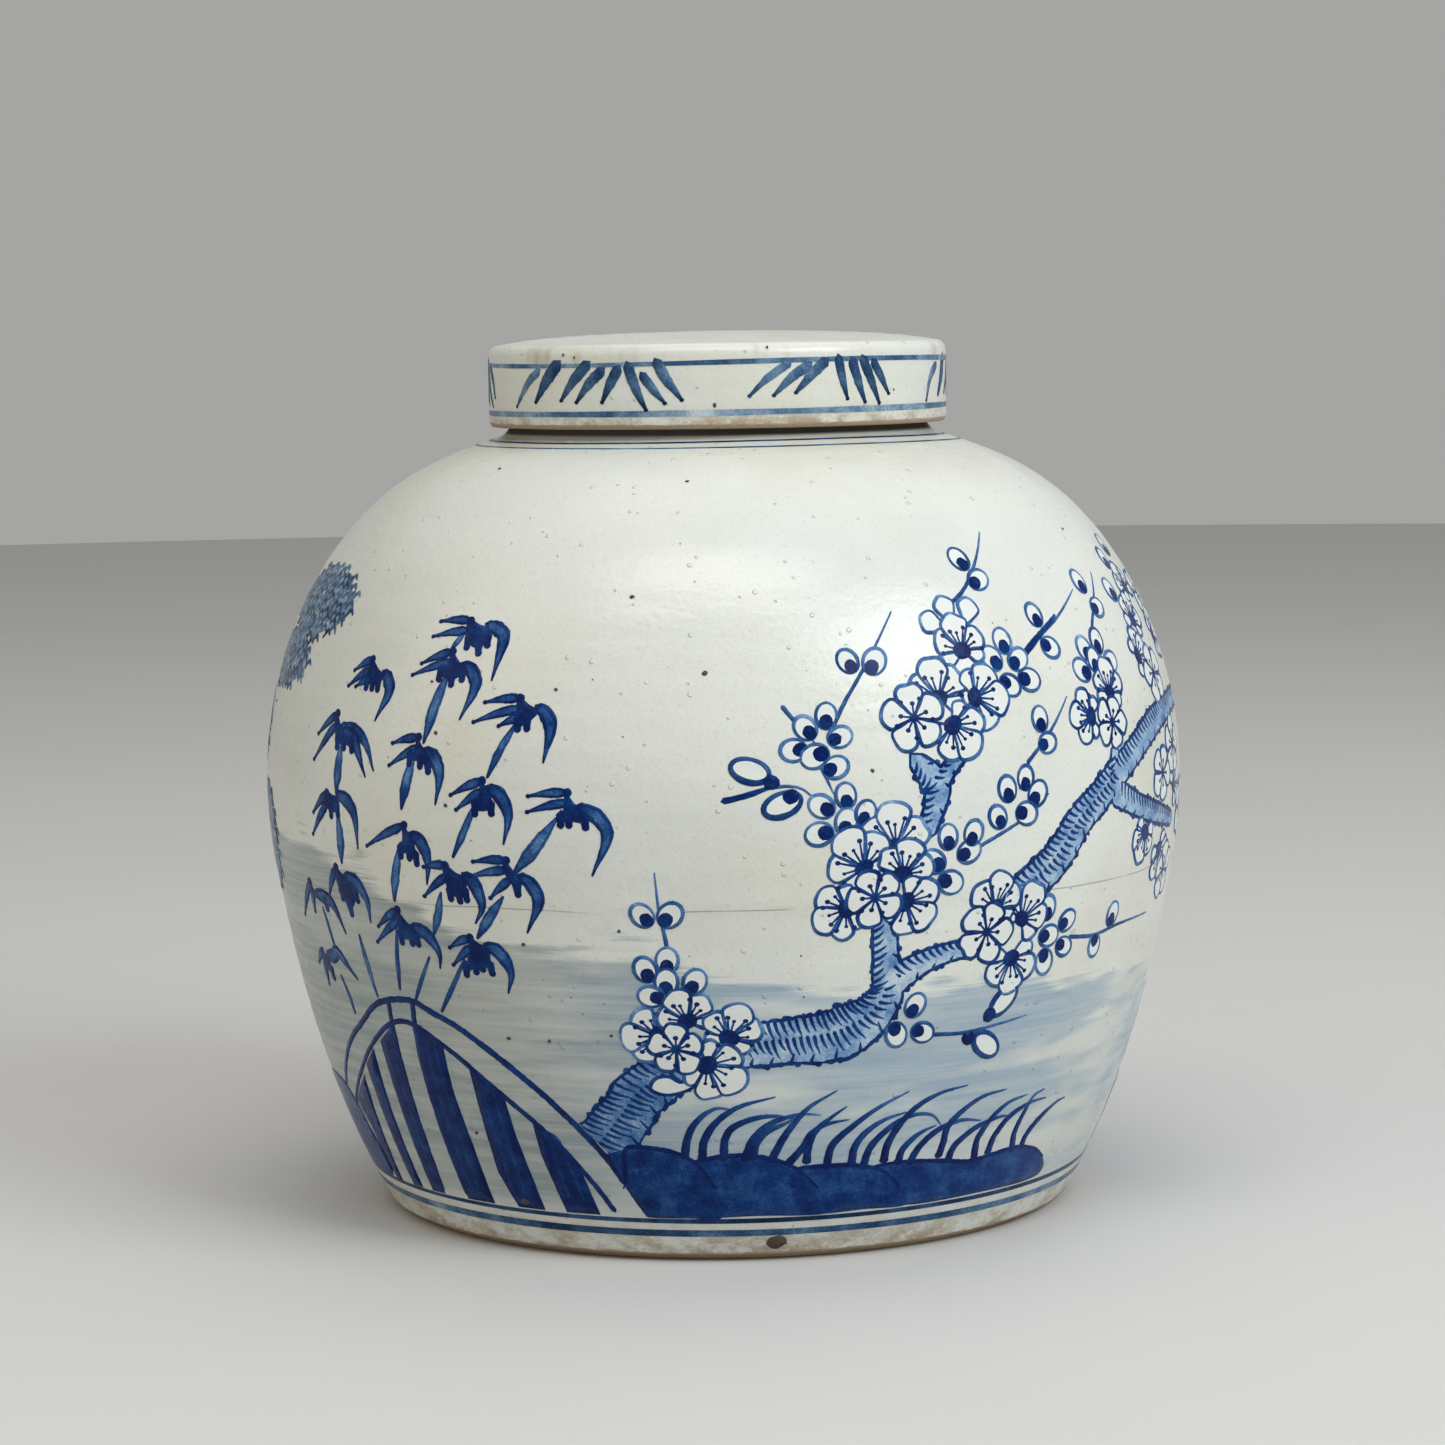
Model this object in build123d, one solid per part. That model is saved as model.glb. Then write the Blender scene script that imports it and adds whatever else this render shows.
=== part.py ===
"""Lidded ginger jar in glazed stoneware: a thrown, round-bellied jar and a loose cap lid.

Millimetres, +Z up. The origin is the centre of the foot ring, on the surface the jar stands on.
Both pieces are turned about the Z axis, and each is one closed solid in its own node.
"""
import os

from build123d import *

# --- Driving dimensions of the jar ---------------------------------------------------
BELLY_RADIUS = 140.0       # widest point of the jar
BELLY_HEIGHT = 131.0       # height of the widest point
FOOT_EDGE_RADIUS = 105.6   # lower edge of the glazed wall
FOOT_EDGE_HEIGHT = 2.6
NECK_RADIUS = 63.0         # outside of the upright neck
NECK_ROOT_HEIGHT = 234.8   # where the shoulder meets the neck
RIM_HEIGHT = 257.0         # top of the neck, which carries the lid
MOUTH_RADIUS = 57.0        # inside of the neck
WALL = 6.2                 # thickness of the belly wall
FLOOR_HEIGHT = 12.5        # inside bottom of the jar

# --- Foot ring -----------------------------------------------------------------------
RING_OUTER_RADIUS = 102.0
RING_INNER_RADIUS = 89.5
RING_TOP_OUTER_RADIUS = 103.0
RING_SIDE_HEIGHT = 1.6     # unglazed side of the ring, under the glazed edge
BASE_RECESS = 5.0          # depth of the turned base inside the ring
RECESS_SLOPE = 3.0         # how far the ring's inner side leans in

# --- Driving dimensions of the lid ---------------------------------------------------
LID_RADIUS = 70.0
LID_SKIRT_BOTTOM = 236.8   # stands just clear of the shoulder
LID_EDGE_HEIGHT = 261.5    # where the side turns into the top
LID_TOP_HEIGHT = 265.0     # crown of the slightly domed top
LID_SKIRT_WALL = 4.2
LID_CORNER = 3.2           # rounding between side and top
LID_LIP = 1.4              # rounding of the skirt's lower edge
LID_CEILING_FILLET = 2.0

# --- Small edges ---------------------------------------------------------------------
RIM_ROUNDING = 1.6

OUTER_STATIONS = [         # (radius, height) up the glazed wall, foot to neck
    (FOOT_EDGE_RADIUS, FOOT_EDGE_HEIGHT),
    (114.2, 20.0),
    (126.0, 52.0),
    (135.6, 92.0),
    (BELLY_RADIUS, BELLY_HEIGHT),
    (134.6, 166.0),
    (120.2, 197.0),
    (98.0, 220.0),
    (79.0, 229.6),
    (NECK_RADIUS, NECK_ROOT_HEIGHT),
]
OUTER_START = (0.55, 1.0)  # direction of the wall as it leaves the foot
OUTER_END = (-1.0, 0.27)   # direction of the shoulder as it reaches the neck


def inner_stations():
    """The inside of the wall: the outer stations moved in by about one wall thickness."""
    return [
        (0.0, FLOOR_HEIGHT),
        (60.0, FLOOR_HEIGHT + 0.8),
        (96.0, FLOOR_HEIGHT + 7.0),
        (113.5, 38.0),
        (127.2, 86.0),
        (BELLY_RADIUS - WALL, BELLY_HEIGHT),
        (128.8, 164.0),
        (115.0, 194.5),
        (93.0, 215.6),
        (MOUTH_RADIUS, NECK_ROOT_HEIGHT - WALL),
    ]


def revolve_outline(edges):
    """One closed solid from the edges of a half outline that touches the Z axis."""
    outline = make_face(Plane.XZ * Wire(edges))
    return revolve(outline, Axis.Z, 360)


def arc_corner(start, corner, end):
    """A quarter-round edge from start to end that bulges towards corner."""
    middle = tuple(0.2929 * (start[k] + end[k]) + 0.4142 * corner[k] for k in (0, 1))
    return ThreePointArc(start, middle, end)


def jar_body():
    foot_edge = OUTER_STATIONS[0]
    wall = Spline(*OUTER_STATIONS, tangents=[OUTER_START, OUTER_END])
    inside = Spline(*inner_stations(), tangents=[(1, 0), (-1.0, 0.42)])

    neck_foot = (NECK_RADIUS, NECK_ROOT_HEIGHT)
    rim_outer = (NECK_RADIUS, RIM_HEIGHT - RIM_ROUNDING)
    rim_outer_top = (NECK_RADIUS - RIM_ROUNDING, RIM_HEIGHT)
    rim_inner_top = (MOUTH_RADIUS + RIM_ROUNDING, RIM_HEIGHT)
    rim_inner = (MOUTH_RADIUS, RIM_HEIGHT - RIM_ROUNDING)
    neck_inside_foot = (MOUTH_RADIUS, NECK_ROOT_HEIGHT - WALL)

    ring_side = (RING_TOP_OUTER_RADIUS, RING_SIDE_HEIGHT)
    ring_outer = (RING_OUTER_RADIUS, 0.0)
    ring_inner = (RING_INNER_RADIUS, 0.0)
    recess = (RING_INNER_RADIUS - RECESS_SLOPE, BASE_RECESS)
    base_centre = (0.0, BASE_RECESS)

    return revolve_outline([
        wall,
        Line(neck_foot, rim_outer),
        arc_corner(rim_outer, (NECK_RADIUS, RIM_HEIGHT), rim_outer_top),
        Line(rim_outer_top, rim_inner_top),
        arc_corner(rim_inner_top, (MOUTH_RADIUS, RIM_HEIGHT), rim_inner),
        Line(rim_inner, neck_inside_foot),
        inside,
        Line((0.0, FLOOR_HEIGHT), base_centre),
        Line(base_centre, recess),
        Line(recess, ring_inner),
        Line(ring_inner, ring_outer),
        Line(ring_outer, ring_side),
        Line(ring_side, foot_edge),
    ])


def lid():
    inner_radius = LID_RADIUS - LID_SKIRT_WALL
    bottom = LID_SKIRT_BOTTOM
    crown = (0.0, LID_TOP_HEIGHT)
    shoulder_top = (LID_RADIUS - LID_CORNER, LID_EDGE_HEIGHT)
    side_top = (LID_RADIUS, LID_EDGE_HEIGHT - LID_CORNER)
    side_bottom = (LID_RADIUS, bottom + LID_LIP)
    lip_outer = (LID_RADIUS - LID_LIP, bottom)
    lip_inner = (inner_radius + LID_LIP, bottom)
    skirt_bottom = (inner_radius, bottom + LID_LIP)
    skirt_top = (inner_radius, RIM_HEIGHT - LID_CEILING_FILLET)
    ceiling_edge = (inner_radius - LID_CEILING_FILLET, RIM_HEIGHT)
    ceiling_centre = (0.0, RIM_HEIGHT)
    dome = Spline(crown, shoulder_top, tangents=[(1, 0), (1.0, -0.16)])

    return revolve_outline([
        dome,
        arc_corner(shoulder_top, (LID_RADIUS, LID_EDGE_HEIGHT), side_top),
        Line(side_top, side_bottom),
        arc_corner(side_bottom, (LID_RADIUS, bottom), lip_outer),
        Line(lip_outer, lip_inner),
        arc_corner(lip_inner, (inner_radius, bottom), skirt_bottom),
        Line(skirt_bottom, skirt_top),
        arc_corner(skirt_top, (inner_radius, RIM_HEIGHT), ceiling_edge),
        Line(ceiling_edge, ceiling_centre),
        Line(ceiling_centre, crown),
    ])


os.makedirs("parts", exist_ok=True)
for node, solid in (("jar_body", jar_body()), ("lid", lid())):
    solid.label = node
    export_step(solid, f"parts/{node}.step")
    print(node, "volume", round(solid.volume / 1000.0), "cm3", "size", solid.bounding_box().size)
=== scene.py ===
"""Lidded ginger jar: thrown stoneware under a grey-white glaze, painted in cobalt blue.

Lengths are millimetres unless a name ends in _M, and every mesh is written in metres. A place on the
jar is (azimuth, height): degrees from the painted front (-Y) towards +X, and millimetres above the
surface it stands on. The painting is built as thin shells that follow the glazed wall, one mesh for
each motif, with the strength of the cobalt stored on its corners.
"""
import math
import random

import bpy
import numpy as np
from mathutils import Euler, Matrix, Vector
from mathutils.geometry import delaunay_2d_cdt


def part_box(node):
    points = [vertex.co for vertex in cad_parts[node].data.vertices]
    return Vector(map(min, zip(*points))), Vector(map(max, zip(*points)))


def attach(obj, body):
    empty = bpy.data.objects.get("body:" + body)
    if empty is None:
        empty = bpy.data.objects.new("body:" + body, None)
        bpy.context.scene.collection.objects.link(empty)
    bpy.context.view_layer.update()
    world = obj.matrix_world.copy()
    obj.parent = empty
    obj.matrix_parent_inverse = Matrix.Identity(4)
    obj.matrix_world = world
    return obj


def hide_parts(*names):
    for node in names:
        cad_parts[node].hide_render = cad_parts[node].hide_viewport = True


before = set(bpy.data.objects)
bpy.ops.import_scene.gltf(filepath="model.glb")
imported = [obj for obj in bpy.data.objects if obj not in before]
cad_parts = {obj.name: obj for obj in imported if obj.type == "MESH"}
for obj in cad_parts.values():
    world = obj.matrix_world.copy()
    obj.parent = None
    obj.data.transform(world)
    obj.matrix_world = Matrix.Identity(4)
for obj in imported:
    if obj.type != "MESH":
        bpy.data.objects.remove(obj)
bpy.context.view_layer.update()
MM = 0.001
_, BODY_HIGH = (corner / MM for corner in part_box("jar_body"))
LID_LOW, LID_HIGH = (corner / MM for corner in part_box("lid"))

# --- The jar's outline, as in the CAD ---------------------------------------------------
BELLY_RADIUS = BODY_HIGH.x
BELLY_HEIGHT = 131.0
RIM_HEIGHT = BODY_HIGH.z
WALL = 6.2
NECK_RADIUS = 63.0
MOUTH_RADIUS = 57.0
WALL_STATIONS = [(105.6, 2.6), (114.2, 20.0), (126.0, 52.0), (135.6, 92.0), (BELLY_RADIUS, BELLY_HEIGHT),
                 (134.6, 166.0), (120.2, 197.0), (98.0, 220.0), (79.0, 229.6), (NECK_RADIUS, 234.8)]
INNER_STATIONS = [(MOUTH_RADIUS, 228.6), (93.0, 215.6), (115.0, 194.5), (128.8, 164.0),
                  (BELLY_RADIUS - WALL, BELLY_HEIGHT), (127.2, 86.0), (113.5, 38.0), (96.0, 19.5),
                  (60.0, 13.3), (0.0, 12.5)]
NECK_FOOT = 234.8
RIM_ROUNDING = 1.6
RING_INNER, RING_OUTER, RECESS = 89.5, 102.0, 5.0
GLAZE_START = 2.3          # the height up to which the foot is wiped clean of glaze

# --- The lid's outline, as in the CAD ---------------------------------------------------
LID_RADIUS = LID_HIGH.x
LID_BOTTOM = LID_LOW.z
LID_TOP = LID_HIGH.z
LID_EDGE = LID_TOP - 3.5
LID_SKIRT = 4.2


def spline(stations, start, end, step):
    """A smooth curve through the stations with given end directions, as an array of (x, y)."""
    points = np.array(stations, float)
    chords = np.linalg.norm(np.diff(points, axis=0), axis=1)
    knots = np.concatenate([[0.0], np.cumsum(chords)])
    count = len(points)
    matrix = np.zeros((count, count))
    rhs = np.zeros((count, 2))
    matrix[0, 0] = matrix[-1, -1] = 1.0
    rhs[0] = np.array(start) / np.linalg.norm(start)
    rhs[-1] = np.array(end) / np.linalg.norm(end)
    for i in range(1, count - 1):
        before, after = chords[i - 1], chords[i]
        matrix[i, i - 1:i + 2] = after, 2 * (before + after), before
        rhs[i] = 3 * (after * (points[i] - points[i - 1]) / before
                      + before * (points[i + 1] - points[i]) / after)
    slopes = np.linalg.solve(matrix, rhs)
    where = np.linspace(0.0, knots[-1], max(8, int(knots[-1] / step)))
    index = np.clip(np.searchsorted(knots, where, side="right") - 1, 0, count - 2)
    width = chords[index][:, None]
    t = ((where - knots[index]) / chords[index])[:, None]
    return ((2 * t**3 - 3 * t**2 + 1) * points[index] + (t**3 - 2 * t**2 + t) * width * slopes[index]
            + (3 * t**2 - 2 * t**3) * points[index + 1] + (t**3 - t**2) * width * slopes[index + 1])


def straight(start, end, step=1.6):
    """Points along a line, both ends included."""
    length = math.dist(start, end)
    t = np.linspace(0.0, 1.0, max(2, int(length / step) + 1))[:, None]
    return np.array(start) * (1 - t) + np.array(end) * t


def corner(start, turn, end, count=6):
    """A rounded corner from start to end that bulges towards turn."""
    t = np.linspace(0.0, math.pi / 2, count)[:, None]
    start, turn, end = map(np.array, (start, turn, end))
    centre = start + end - turn
    return centre + (start - centre) * np.cos(t) + (end - centre) * np.sin(t)


def joined(*runs):
    """One outline from several runs of points, without repeated points."""
    points = np.vstack(runs)
    keep = np.concatenate([[True], np.linalg.norm(np.diff(points, axis=0), axis=1) > 1e-4])
    return points[keep]


def normals_of(outline):
    """Unit normals of an outline in its own plane, to the right of its direction."""
    along = np.gradient(outline, axis=0)
    along /= np.linalg.norm(along, axis=1)[:, None]
    return np.stack([along[:, 1], -along[:, 0]], axis=1)


def wall_curve(step):
    """The outside of the jar from the foot to the neck, as (radius, height) places."""
    return spline(WALL_STATIONS, (0.55, 1.0), (-1.0, 0.27), step)


def about_axis(reach, azimuth, height):
    """Points at a distance from the jar's axis, at an azimuth in degrees and at a height."""
    radians = np.radians(azimuth)
    return np.stack([reach * np.sin(radians), -reach * np.cos(radians), height], axis=-1)


# --- Unevenness of the throwing ---------------------------------------------------------
SEAM_HEIGHT = 105.5        # where the two thrown halves were joined


def wall_relief(azimuth, height):
    """How far the outer wall stands proud of the CAD outline."""
    turn = azimuth / 360.0
    radians = np.radians(azimuth)
    rings = 0.035 * np.sin(math.tau * (height / 9.3 + turn + 0.35 * np.sin(height / 23.0)))
    fine = 0.016 * np.sin(math.tau * (height / 3.7 - 2 * turn) + 2.0 * np.sin(height / 17.0 + radians))
    lean = 0.22 * np.cos(2 * radians - 0.7) * height / 235.0 + 0.12 * np.cos(3 * radians + height / 60.0)
    seam_at = SEAM_HEIGHT + 0.9 * np.sin(radians + 0.6) + 0.3 * np.sin(3 * radians)
    seam = 0.10 * np.tanh((height - seam_at) / 0.7) * np.exp(-((height - seam_at) / 16.0) ** 2)
    return rings + fine + lean + seam


class Wall:
    """The glazed outside wall, addressed by azimuth and by the distance up its curve from the foot."""

    def __init__(self):
        curve = wall_curve(0.25)
        self.radii, self.heights = curve[:, 0], curve[:, 1]
        steps = np.linalg.norm(np.diff(curve, axis=0), axis=1)
        self.rise = np.concatenate([[0.0], np.cumsum(steps)])
        self.normals = normals_of(curve)

    def up(self, height):
        """The distance up the wall's curve at a height."""
        return np.interp(height, self.heights, self.rise)

    def radius(self, rise):
        """The wall's radius at a distance up its curve."""
        return np.interp(rise, self.rise, self.radii)

    def inner_side(self, height):
        """A radius well within the thickness of the wall, which parts its outside from its inside."""
        return np.interp(height, self.heights, self.radii) - 0.6 * WALL

    def place(self, azimuth, rise, lift):
        """Points on the wall, lifted off it along its normal."""
        radius, height = self.radius(rise), np.interp(rise, self.rise, self.heights)
        out = np.interp(rise, self.rise, self.normals[:, 0])
        over = np.interp(rise, self.rise, self.normals[:, 1])
        lift = lift + wall_relief(azimuth, height)
        return about_axis(radius + out * lift, azimuth, height + over * lift)


class Skirt:
    """The upright side of the lid, addressed in the same way."""

    def up(self, height):
        """The distance up the side, which is the height itself."""
        return np.asarray(height, float)

    def radius(self, rise):
        """The lid's radius, the same all the way up."""
        return np.full_like(np.asarray(rise, float), LID_RADIUS)

    def place(self, azimuth, rise, lift):
        """Points on the side, lifted off it."""
        return about_axis(LID_RADIUS + lift + lid_relief(azimuth, rise), azimuth, rise)


def lid_relief(azimuth, height):
    """How far the lid's side stands proud of the CAD outline."""
    radians = np.radians(azimuth)
    return (0.03 * np.sin(math.tau * (height / 6.1 + azimuth / 360.0)) - 0.12
            + 0.10 * np.cos(2 * radians + 0.5))


WALL_SURFACE = Wall()
LID_SURFACE = Skirt()


# --- Turned pieces ----------------------------------------------------------------------
def new_piece(name, verts, faces):
    """A new object in the scene whose mesh has these points, in millimetres, and faces."""
    mesh = bpy.data.meshes.new(name)
    mesh.from_pydata((np.asarray(verts) * MM).tolist(), [], faces)
    piece = bpy.data.objects.new(name, mesh)
    bpy.context.scene.collection.objects.link(piece)
    return piece


def store(mesh, attribute, domain, values):
    """Stores one number on each point or corner of a mesh."""
    mesh.attributes.new(attribute, "FLOAT", domain).data.foreach_set("value", values)
    mesh.update()


def turned(name, outline, relief, bare, columns):
    """A closed mesh of revolution from an outline that starts and ends on the axis.

    relief(azimuth, points) moves each ring along its normal, and bare, one value for each ring,
    becomes the vertex attribute that shows unglazed clay.
    """
    rings = outline[1:-1]
    normals = normals_of(outline)[1:-1]
    azimuths = np.arange(columns) * 360.0 / columns
    count = len(rings)
    grid = np.repeat(rings[:, None, :], columns, axis=1)
    push = relief(np.repeat(azimuths[None, :], count, axis=0), grid)
    grid = grid + push[..., None] * normals[:, None, :]
    poles = np.array([[0.0, 0.0, outline[0][1]], [0.0, 0.0, outline[-1][1]]])
    verts = np.vstack([about_axis(grid[..., 0], azimuths, grid[..., 1]).reshape(-1, 3), poles])
    here = np.arange(columns)
    after = (here + 1) % columns
    faces = []
    for ring in range(count - 1):
        low, high = ring * columns, (ring + 1) * columns
        faces += list(zip(low + here, low + after, high + after, high + here))
    first, last = count * columns, count * columns + 1
    faces += list(zip(after, here, np.full(columns, first)))
    top = (count - 1) * columns
    faces += list(zip(top + here, top + after, np.full(columns, last)))
    piece = new_piece(name, verts, [tuple(int(i) for i in f) for f in faces])
    piece.data.polygons.foreach_set("use_smooth", [True] * len(faces))
    values = np.concatenate([np.repeat(bare[1:-1], columns), [bare[0], bare[-1]]])
    store(piece.data, "bare", "POINT", values)
    return piece


def jar_outline():
    """From the middle of the base, round the foot, up the wall, over the rim and down inside."""
    rim = RIM_HEIGHT - 0.05
    under = joined(straight((0, RECESS), (84.5, RECESS), 3.0),
                   corner((84.5, RECESS), (86.7, RECESS), (87.3, 3.6)),
                   corner((88.9, 0.9), (RING_INNER, 0.0), (91.0, 0.0)),
                   straight((91.0, 0.0), (RING_OUTER - 1.0, 0.0)),
                   corner((RING_OUTER - 1.0, 0.0), (RING_OUTER, 0.0), (RING_OUTER + 0.6, 1.0)),
                   corner((103.0, 1.6), (104.6, 1.7), (105.3, 2.2), 5))
    wall = wall_curve(1.75)[:-3]
    foot = wall_curve(0.6)[1:14]
    wall = np.vstack([foot, wall[wall[:, 1] > foot[-1, 1] + 0.8]])
    outer, inner, low = NECK_RADIUS, MOUTH_RADIUS, rim - RIM_ROUNDING
    neck = joined(corner(tuple(wall[-1]), (outer, NECK_FOOT), (outer, 238.6), 7),
                  straight((outer, 238.6), (outer, low)),
                  corner((outer, low), (outer, rim), (outer - RIM_ROUNDING, rim)),
                  straight((outer - RIM_ROUNDING, rim), (inner + RIM_ROUNDING, rim)),
                  corner((inner + RIM_ROUNDING, rim), (inner, rim), (inner, low)),
                  straight((inner, low), (inner, 230.5)))
    inside = spline(INNER_STATIONS, (1.0, -0.42), (-1.0, 0.0), 4.2)
    return joined(under, wall, neck, inside)


def jar_relief(azimuth, points):
    """The wall's own unevenness outside, broad throwing rings inside, turning marks below."""
    radius, height = points[..., 0], points[..., 1]
    outer = radius > WALL_SURFACE.inner_side(height)
    outside = outer & (height > GLAZE_START) & (height < 234.6)
    inside = ~outer & (height > 12.0) & (height < 228.0)
    marks = 0.35 * np.sin(math.tau * (height / 11.0 + azimuth / 360.0 + radius / 24.0))
    turned_base = 0.07 * np.sin(radius * 2.1 + 0.8 * np.sin(np.radians(azimuth)))
    fade = np.clip((height - GLAZE_START) / 4.0, 0.0, 1.0)
    relief = np.where(outside, fade * wall_relief(azimuth, height), 0.0)
    relief = np.where(inside, marks, relief)
    return np.where((height <= RECESS + 0.01) & (radius < 84.0), turned_base, relief)


def jar_bareness(outline):
    """1 on the foot ring, which is wiped clean before firing, and a little on the rim."""
    radius, height = outline[:, 0], outline[:, 1]
    ring = (radius > 85.0) & (height < GLAZE_START + 0.05)
    rim = (height > RIM_HEIGHT - 1.0) & (radius > MOUTH_RADIUS - 1)
    return np.where(ring, 1.0, np.where(rim, 0.9, 0.0))


def lid_outline():
    """From the middle of the ceiling, down inside the skirt, round its lip and up over the top."""
    inner = LID_RADIUS - LID_SKIRT
    ceiling = RIM_HEIGHT
    low, lip, shoulder = LID_BOTTOM, 1.6, LID_EDGE - 3.2
    inside = joined(straight((0, ceiling), (inner - 2.0, ceiling), 4.0),
                    corner((inner - 2.0, ceiling), (inner, ceiling), (inner, ceiling - 2.0)),
                    straight((inner, ceiling - 2.0), (inner, low + lip)),
                    corner((inner, low + lip), (inner, low), (inner + lip, low), 7),
                    corner((LID_RADIUS - lip, low), (LID_RADIUS, low), (LID_RADIUS, low + lip + 0.4), 8))
    side = straight((LID_RADIUS, low + lip + 0.4), (LID_RADIUS, shoulder), 0.8)
    edge = (LID_RADIUS - 3.4, LID_EDGE + 0.2)
    dome = [edge, (45.0, LID_TOP - 1.1), (20.0, LID_TOP - 0.2), (0.0, LID_TOP)]
    top = joined(corner((LID_RADIUS, shoulder), (LID_RADIUS, LID_EDGE + 0.2), edge, 9),
                 spline(dome, (-1.0, 0.16), (-1.0, 0.0), 1.5))
    return joined(inside, side, top)


def lid_turned_relief(azimuth, points):
    """The skirt's unevenness outside, blending into a faint spiral on the top."""
    radius, height = points[..., 0], points[..., 1]
    on_top = np.clip((LID_RADIUS - 4.0 - radius) / 10.0, 0.0, 1.0)
    spiral = 0.04 * np.sin(math.tau * (radius / 7.0 + azimuth / 360.0)) - 0.05
    outer = lid_relief(azimuth, height) * (1 - on_top) + spiral * on_top
    is_outer = (radius > LID_RADIUS - 0.9) | (height > RIM_HEIGHT + 1.0)
    return np.where(is_outer, outer * np.clip((height - LID_BOTTOM) / 1.5, 0.0, 1.0), 0.0)


def lid_bareness(outline):
    """Mostly bare on the lip of the skirt, and where the ceiling sits on the rim."""
    radius, height = outline[:, 0], outline[:, 1]
    lip = height < LID_BOTTOM + 1.3
    seat = (height < RIM_HEIGHT + 0.1) & (radius > 52.0) & (height > RIM_HEIGHT - 3.0)
    return np.where(lip, 0.85, np.where(seat & (radius < LID_RADIUS - 1.0), 0.8, 0.0))


# --- Brushwork --------------------------------------------------------------------------
LINE_STEP = 1.1            # spacing of the points along a painted edge
FILL_STEP = 3.0            # spacing of the points inside a broad painted shape
BROAD_WIDTH = 4.5          # strokes wider than this have points inside as well
TWIG_LIFT = 0.07           # how far each layer of paint stands on the glaze, back to front
BOUGH_LIFT = 0.08
FENCE_LIFT = 0.09          # the rocks at the back as well
LINE_LIFT = 0.09
FAN_LIFT = 0.11
BAMBOO_LIFT = 0.12
NEAR_LIFT = 0.13           # the meadows and the blossoms, which lie over boughs and twigs
PINE_LIFT = 0.14
LID_SPECK_LIFT = 0.15
SPECK_LIFT = 0.16
PAINT_ROOT = -0.12         # how deep the thin shells reach into it
FAINT_INK = 0.1            # a shape paler than this hides what lies under it
UNDER_SHARE = 0.30         # the share of an earlier layer that darkens a later one
RANDOM = random.Random(11)


def wander(amount):
    """A random step either way."""
    return RANDOM.uniform(-amount, amount)


def smooth_path(points, step=LINE_STEP, closed=False):
    """A Catmull-Rom curve through the points, resampled at an even step."""
    pts = np.array(points, float)
    if closed:
        ext = np.vstack([pts[-1], pts, pts[0], pts[1]])
    else:
        ext = np.vstack([2 * pts[0] - pts[1], pts, 2 * pts[-1] - pts[-2]])
    t = np.linspace(0.0, 1.0, 9)[:-1, None]
    runs = []
    for i in range(1, len(ext) - 2):
        a, b, c, d = ext[i - 1:i + 3]
        runs.append(0.5 * (2 * b + (c - a) * t + (2 * a - 5 * b + 4 * c - d) * t**2
                           + (3 * b - a - 3 * c + d) * t**3))
    curve = np.vstack(runs + [ext[-2][None, :]])
    gaps = np.linalg.norm(np.diff(curve, axis=0), axis=1)
    run = np.concatenate([[0.0], np.cumsum(gaps)])
    count = max(3, int(round(run[-1] / step)) + 1)
    where = np.linspace(0.0, run[-1], count)
    return np.stack([np.interp(where, run, curve[:, k]) for k in (0, 1)], axis=1)


def winding(outline, points):
    """True for the points inside a closed outline, which may cross itself."""
    a, b = outline, np.roll(outline, -1, axis=0)
    x, y = points[:, 0:1], points[:, 1:2]
    side = (b[:, 0] - a[:, 0]) * (y - a[:, 1]) - (x - a[:, 0]) * (b[:, 1] - a[:, 1])
    rising = (a[:, 1] <= y) & (b[:, 1] > y) & (side > 0)
    falling = (a[:, 1] > y) & (b[:, 1] <= y) & (side < 0)
    return (rising.sum(axis=1) - falling.sum(axis=1)) != 0


class Shape:
    """One laid area of paint: its outline, and how strong the cobalt is within it."""

    def __init__(self, outline, spine=None, ink=None, broad=False, mottle=0.0, opaque=False):
        self.outline = np.asarray(outline, float)
        self.opaque = opaque
        self.spine = spine
        self.ink = ink
        self.broad = broad
        self.mottle = mottle
        self.low = self.outline.min(axis=0)
        self.high = self.outline.max(axis=0)

    def fill_points(self):
        """An even grid of points within the outline of a broad shape."""
        counts = np.maximum(((self.high - self.low) / FILL_STEP).astype(int), 1)
        axes = [np.linspace(low, high, count + 1)[1:-1]
                for low, high, count in zip(self.low, self.high, counts)]
        grid = np.stack(np.meshgrid(*axes), axis=-1).reshape(-1, 2)
        return grid[winding(self.outline, grid)].tolist() if len(grid) else []

    def strength(self, points):
        """The cobalt's strength at points of the plane, 0 bare to 1 darkest."""
        if self.spine is None:
            values = np.full(len(points), float(self.ink[0]))
        else:
            gap = np.linalg.norm(points[:, None, :] - self.spine[None, :, :], axis=2)
            along = gap.argmin(axis=1) / max(1, len(self.spine) - 1)
            values = np.interp(along, np.linspace(0, 1, len(self.ink)), self.ink)
        x, y = points[:, 0], points[:, 1]
        cloud = (np.sin(x * 0.55 + 1.7 * np.sin(y * 0.31)) + np.sin(y * 0.83 + 1.3 * np.sin(x * 0.27))
                 + 0.7 * np.sin(1.9 * x + 0.7 * y)) / 2.7
        return values + self.mottle * cloud


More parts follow.
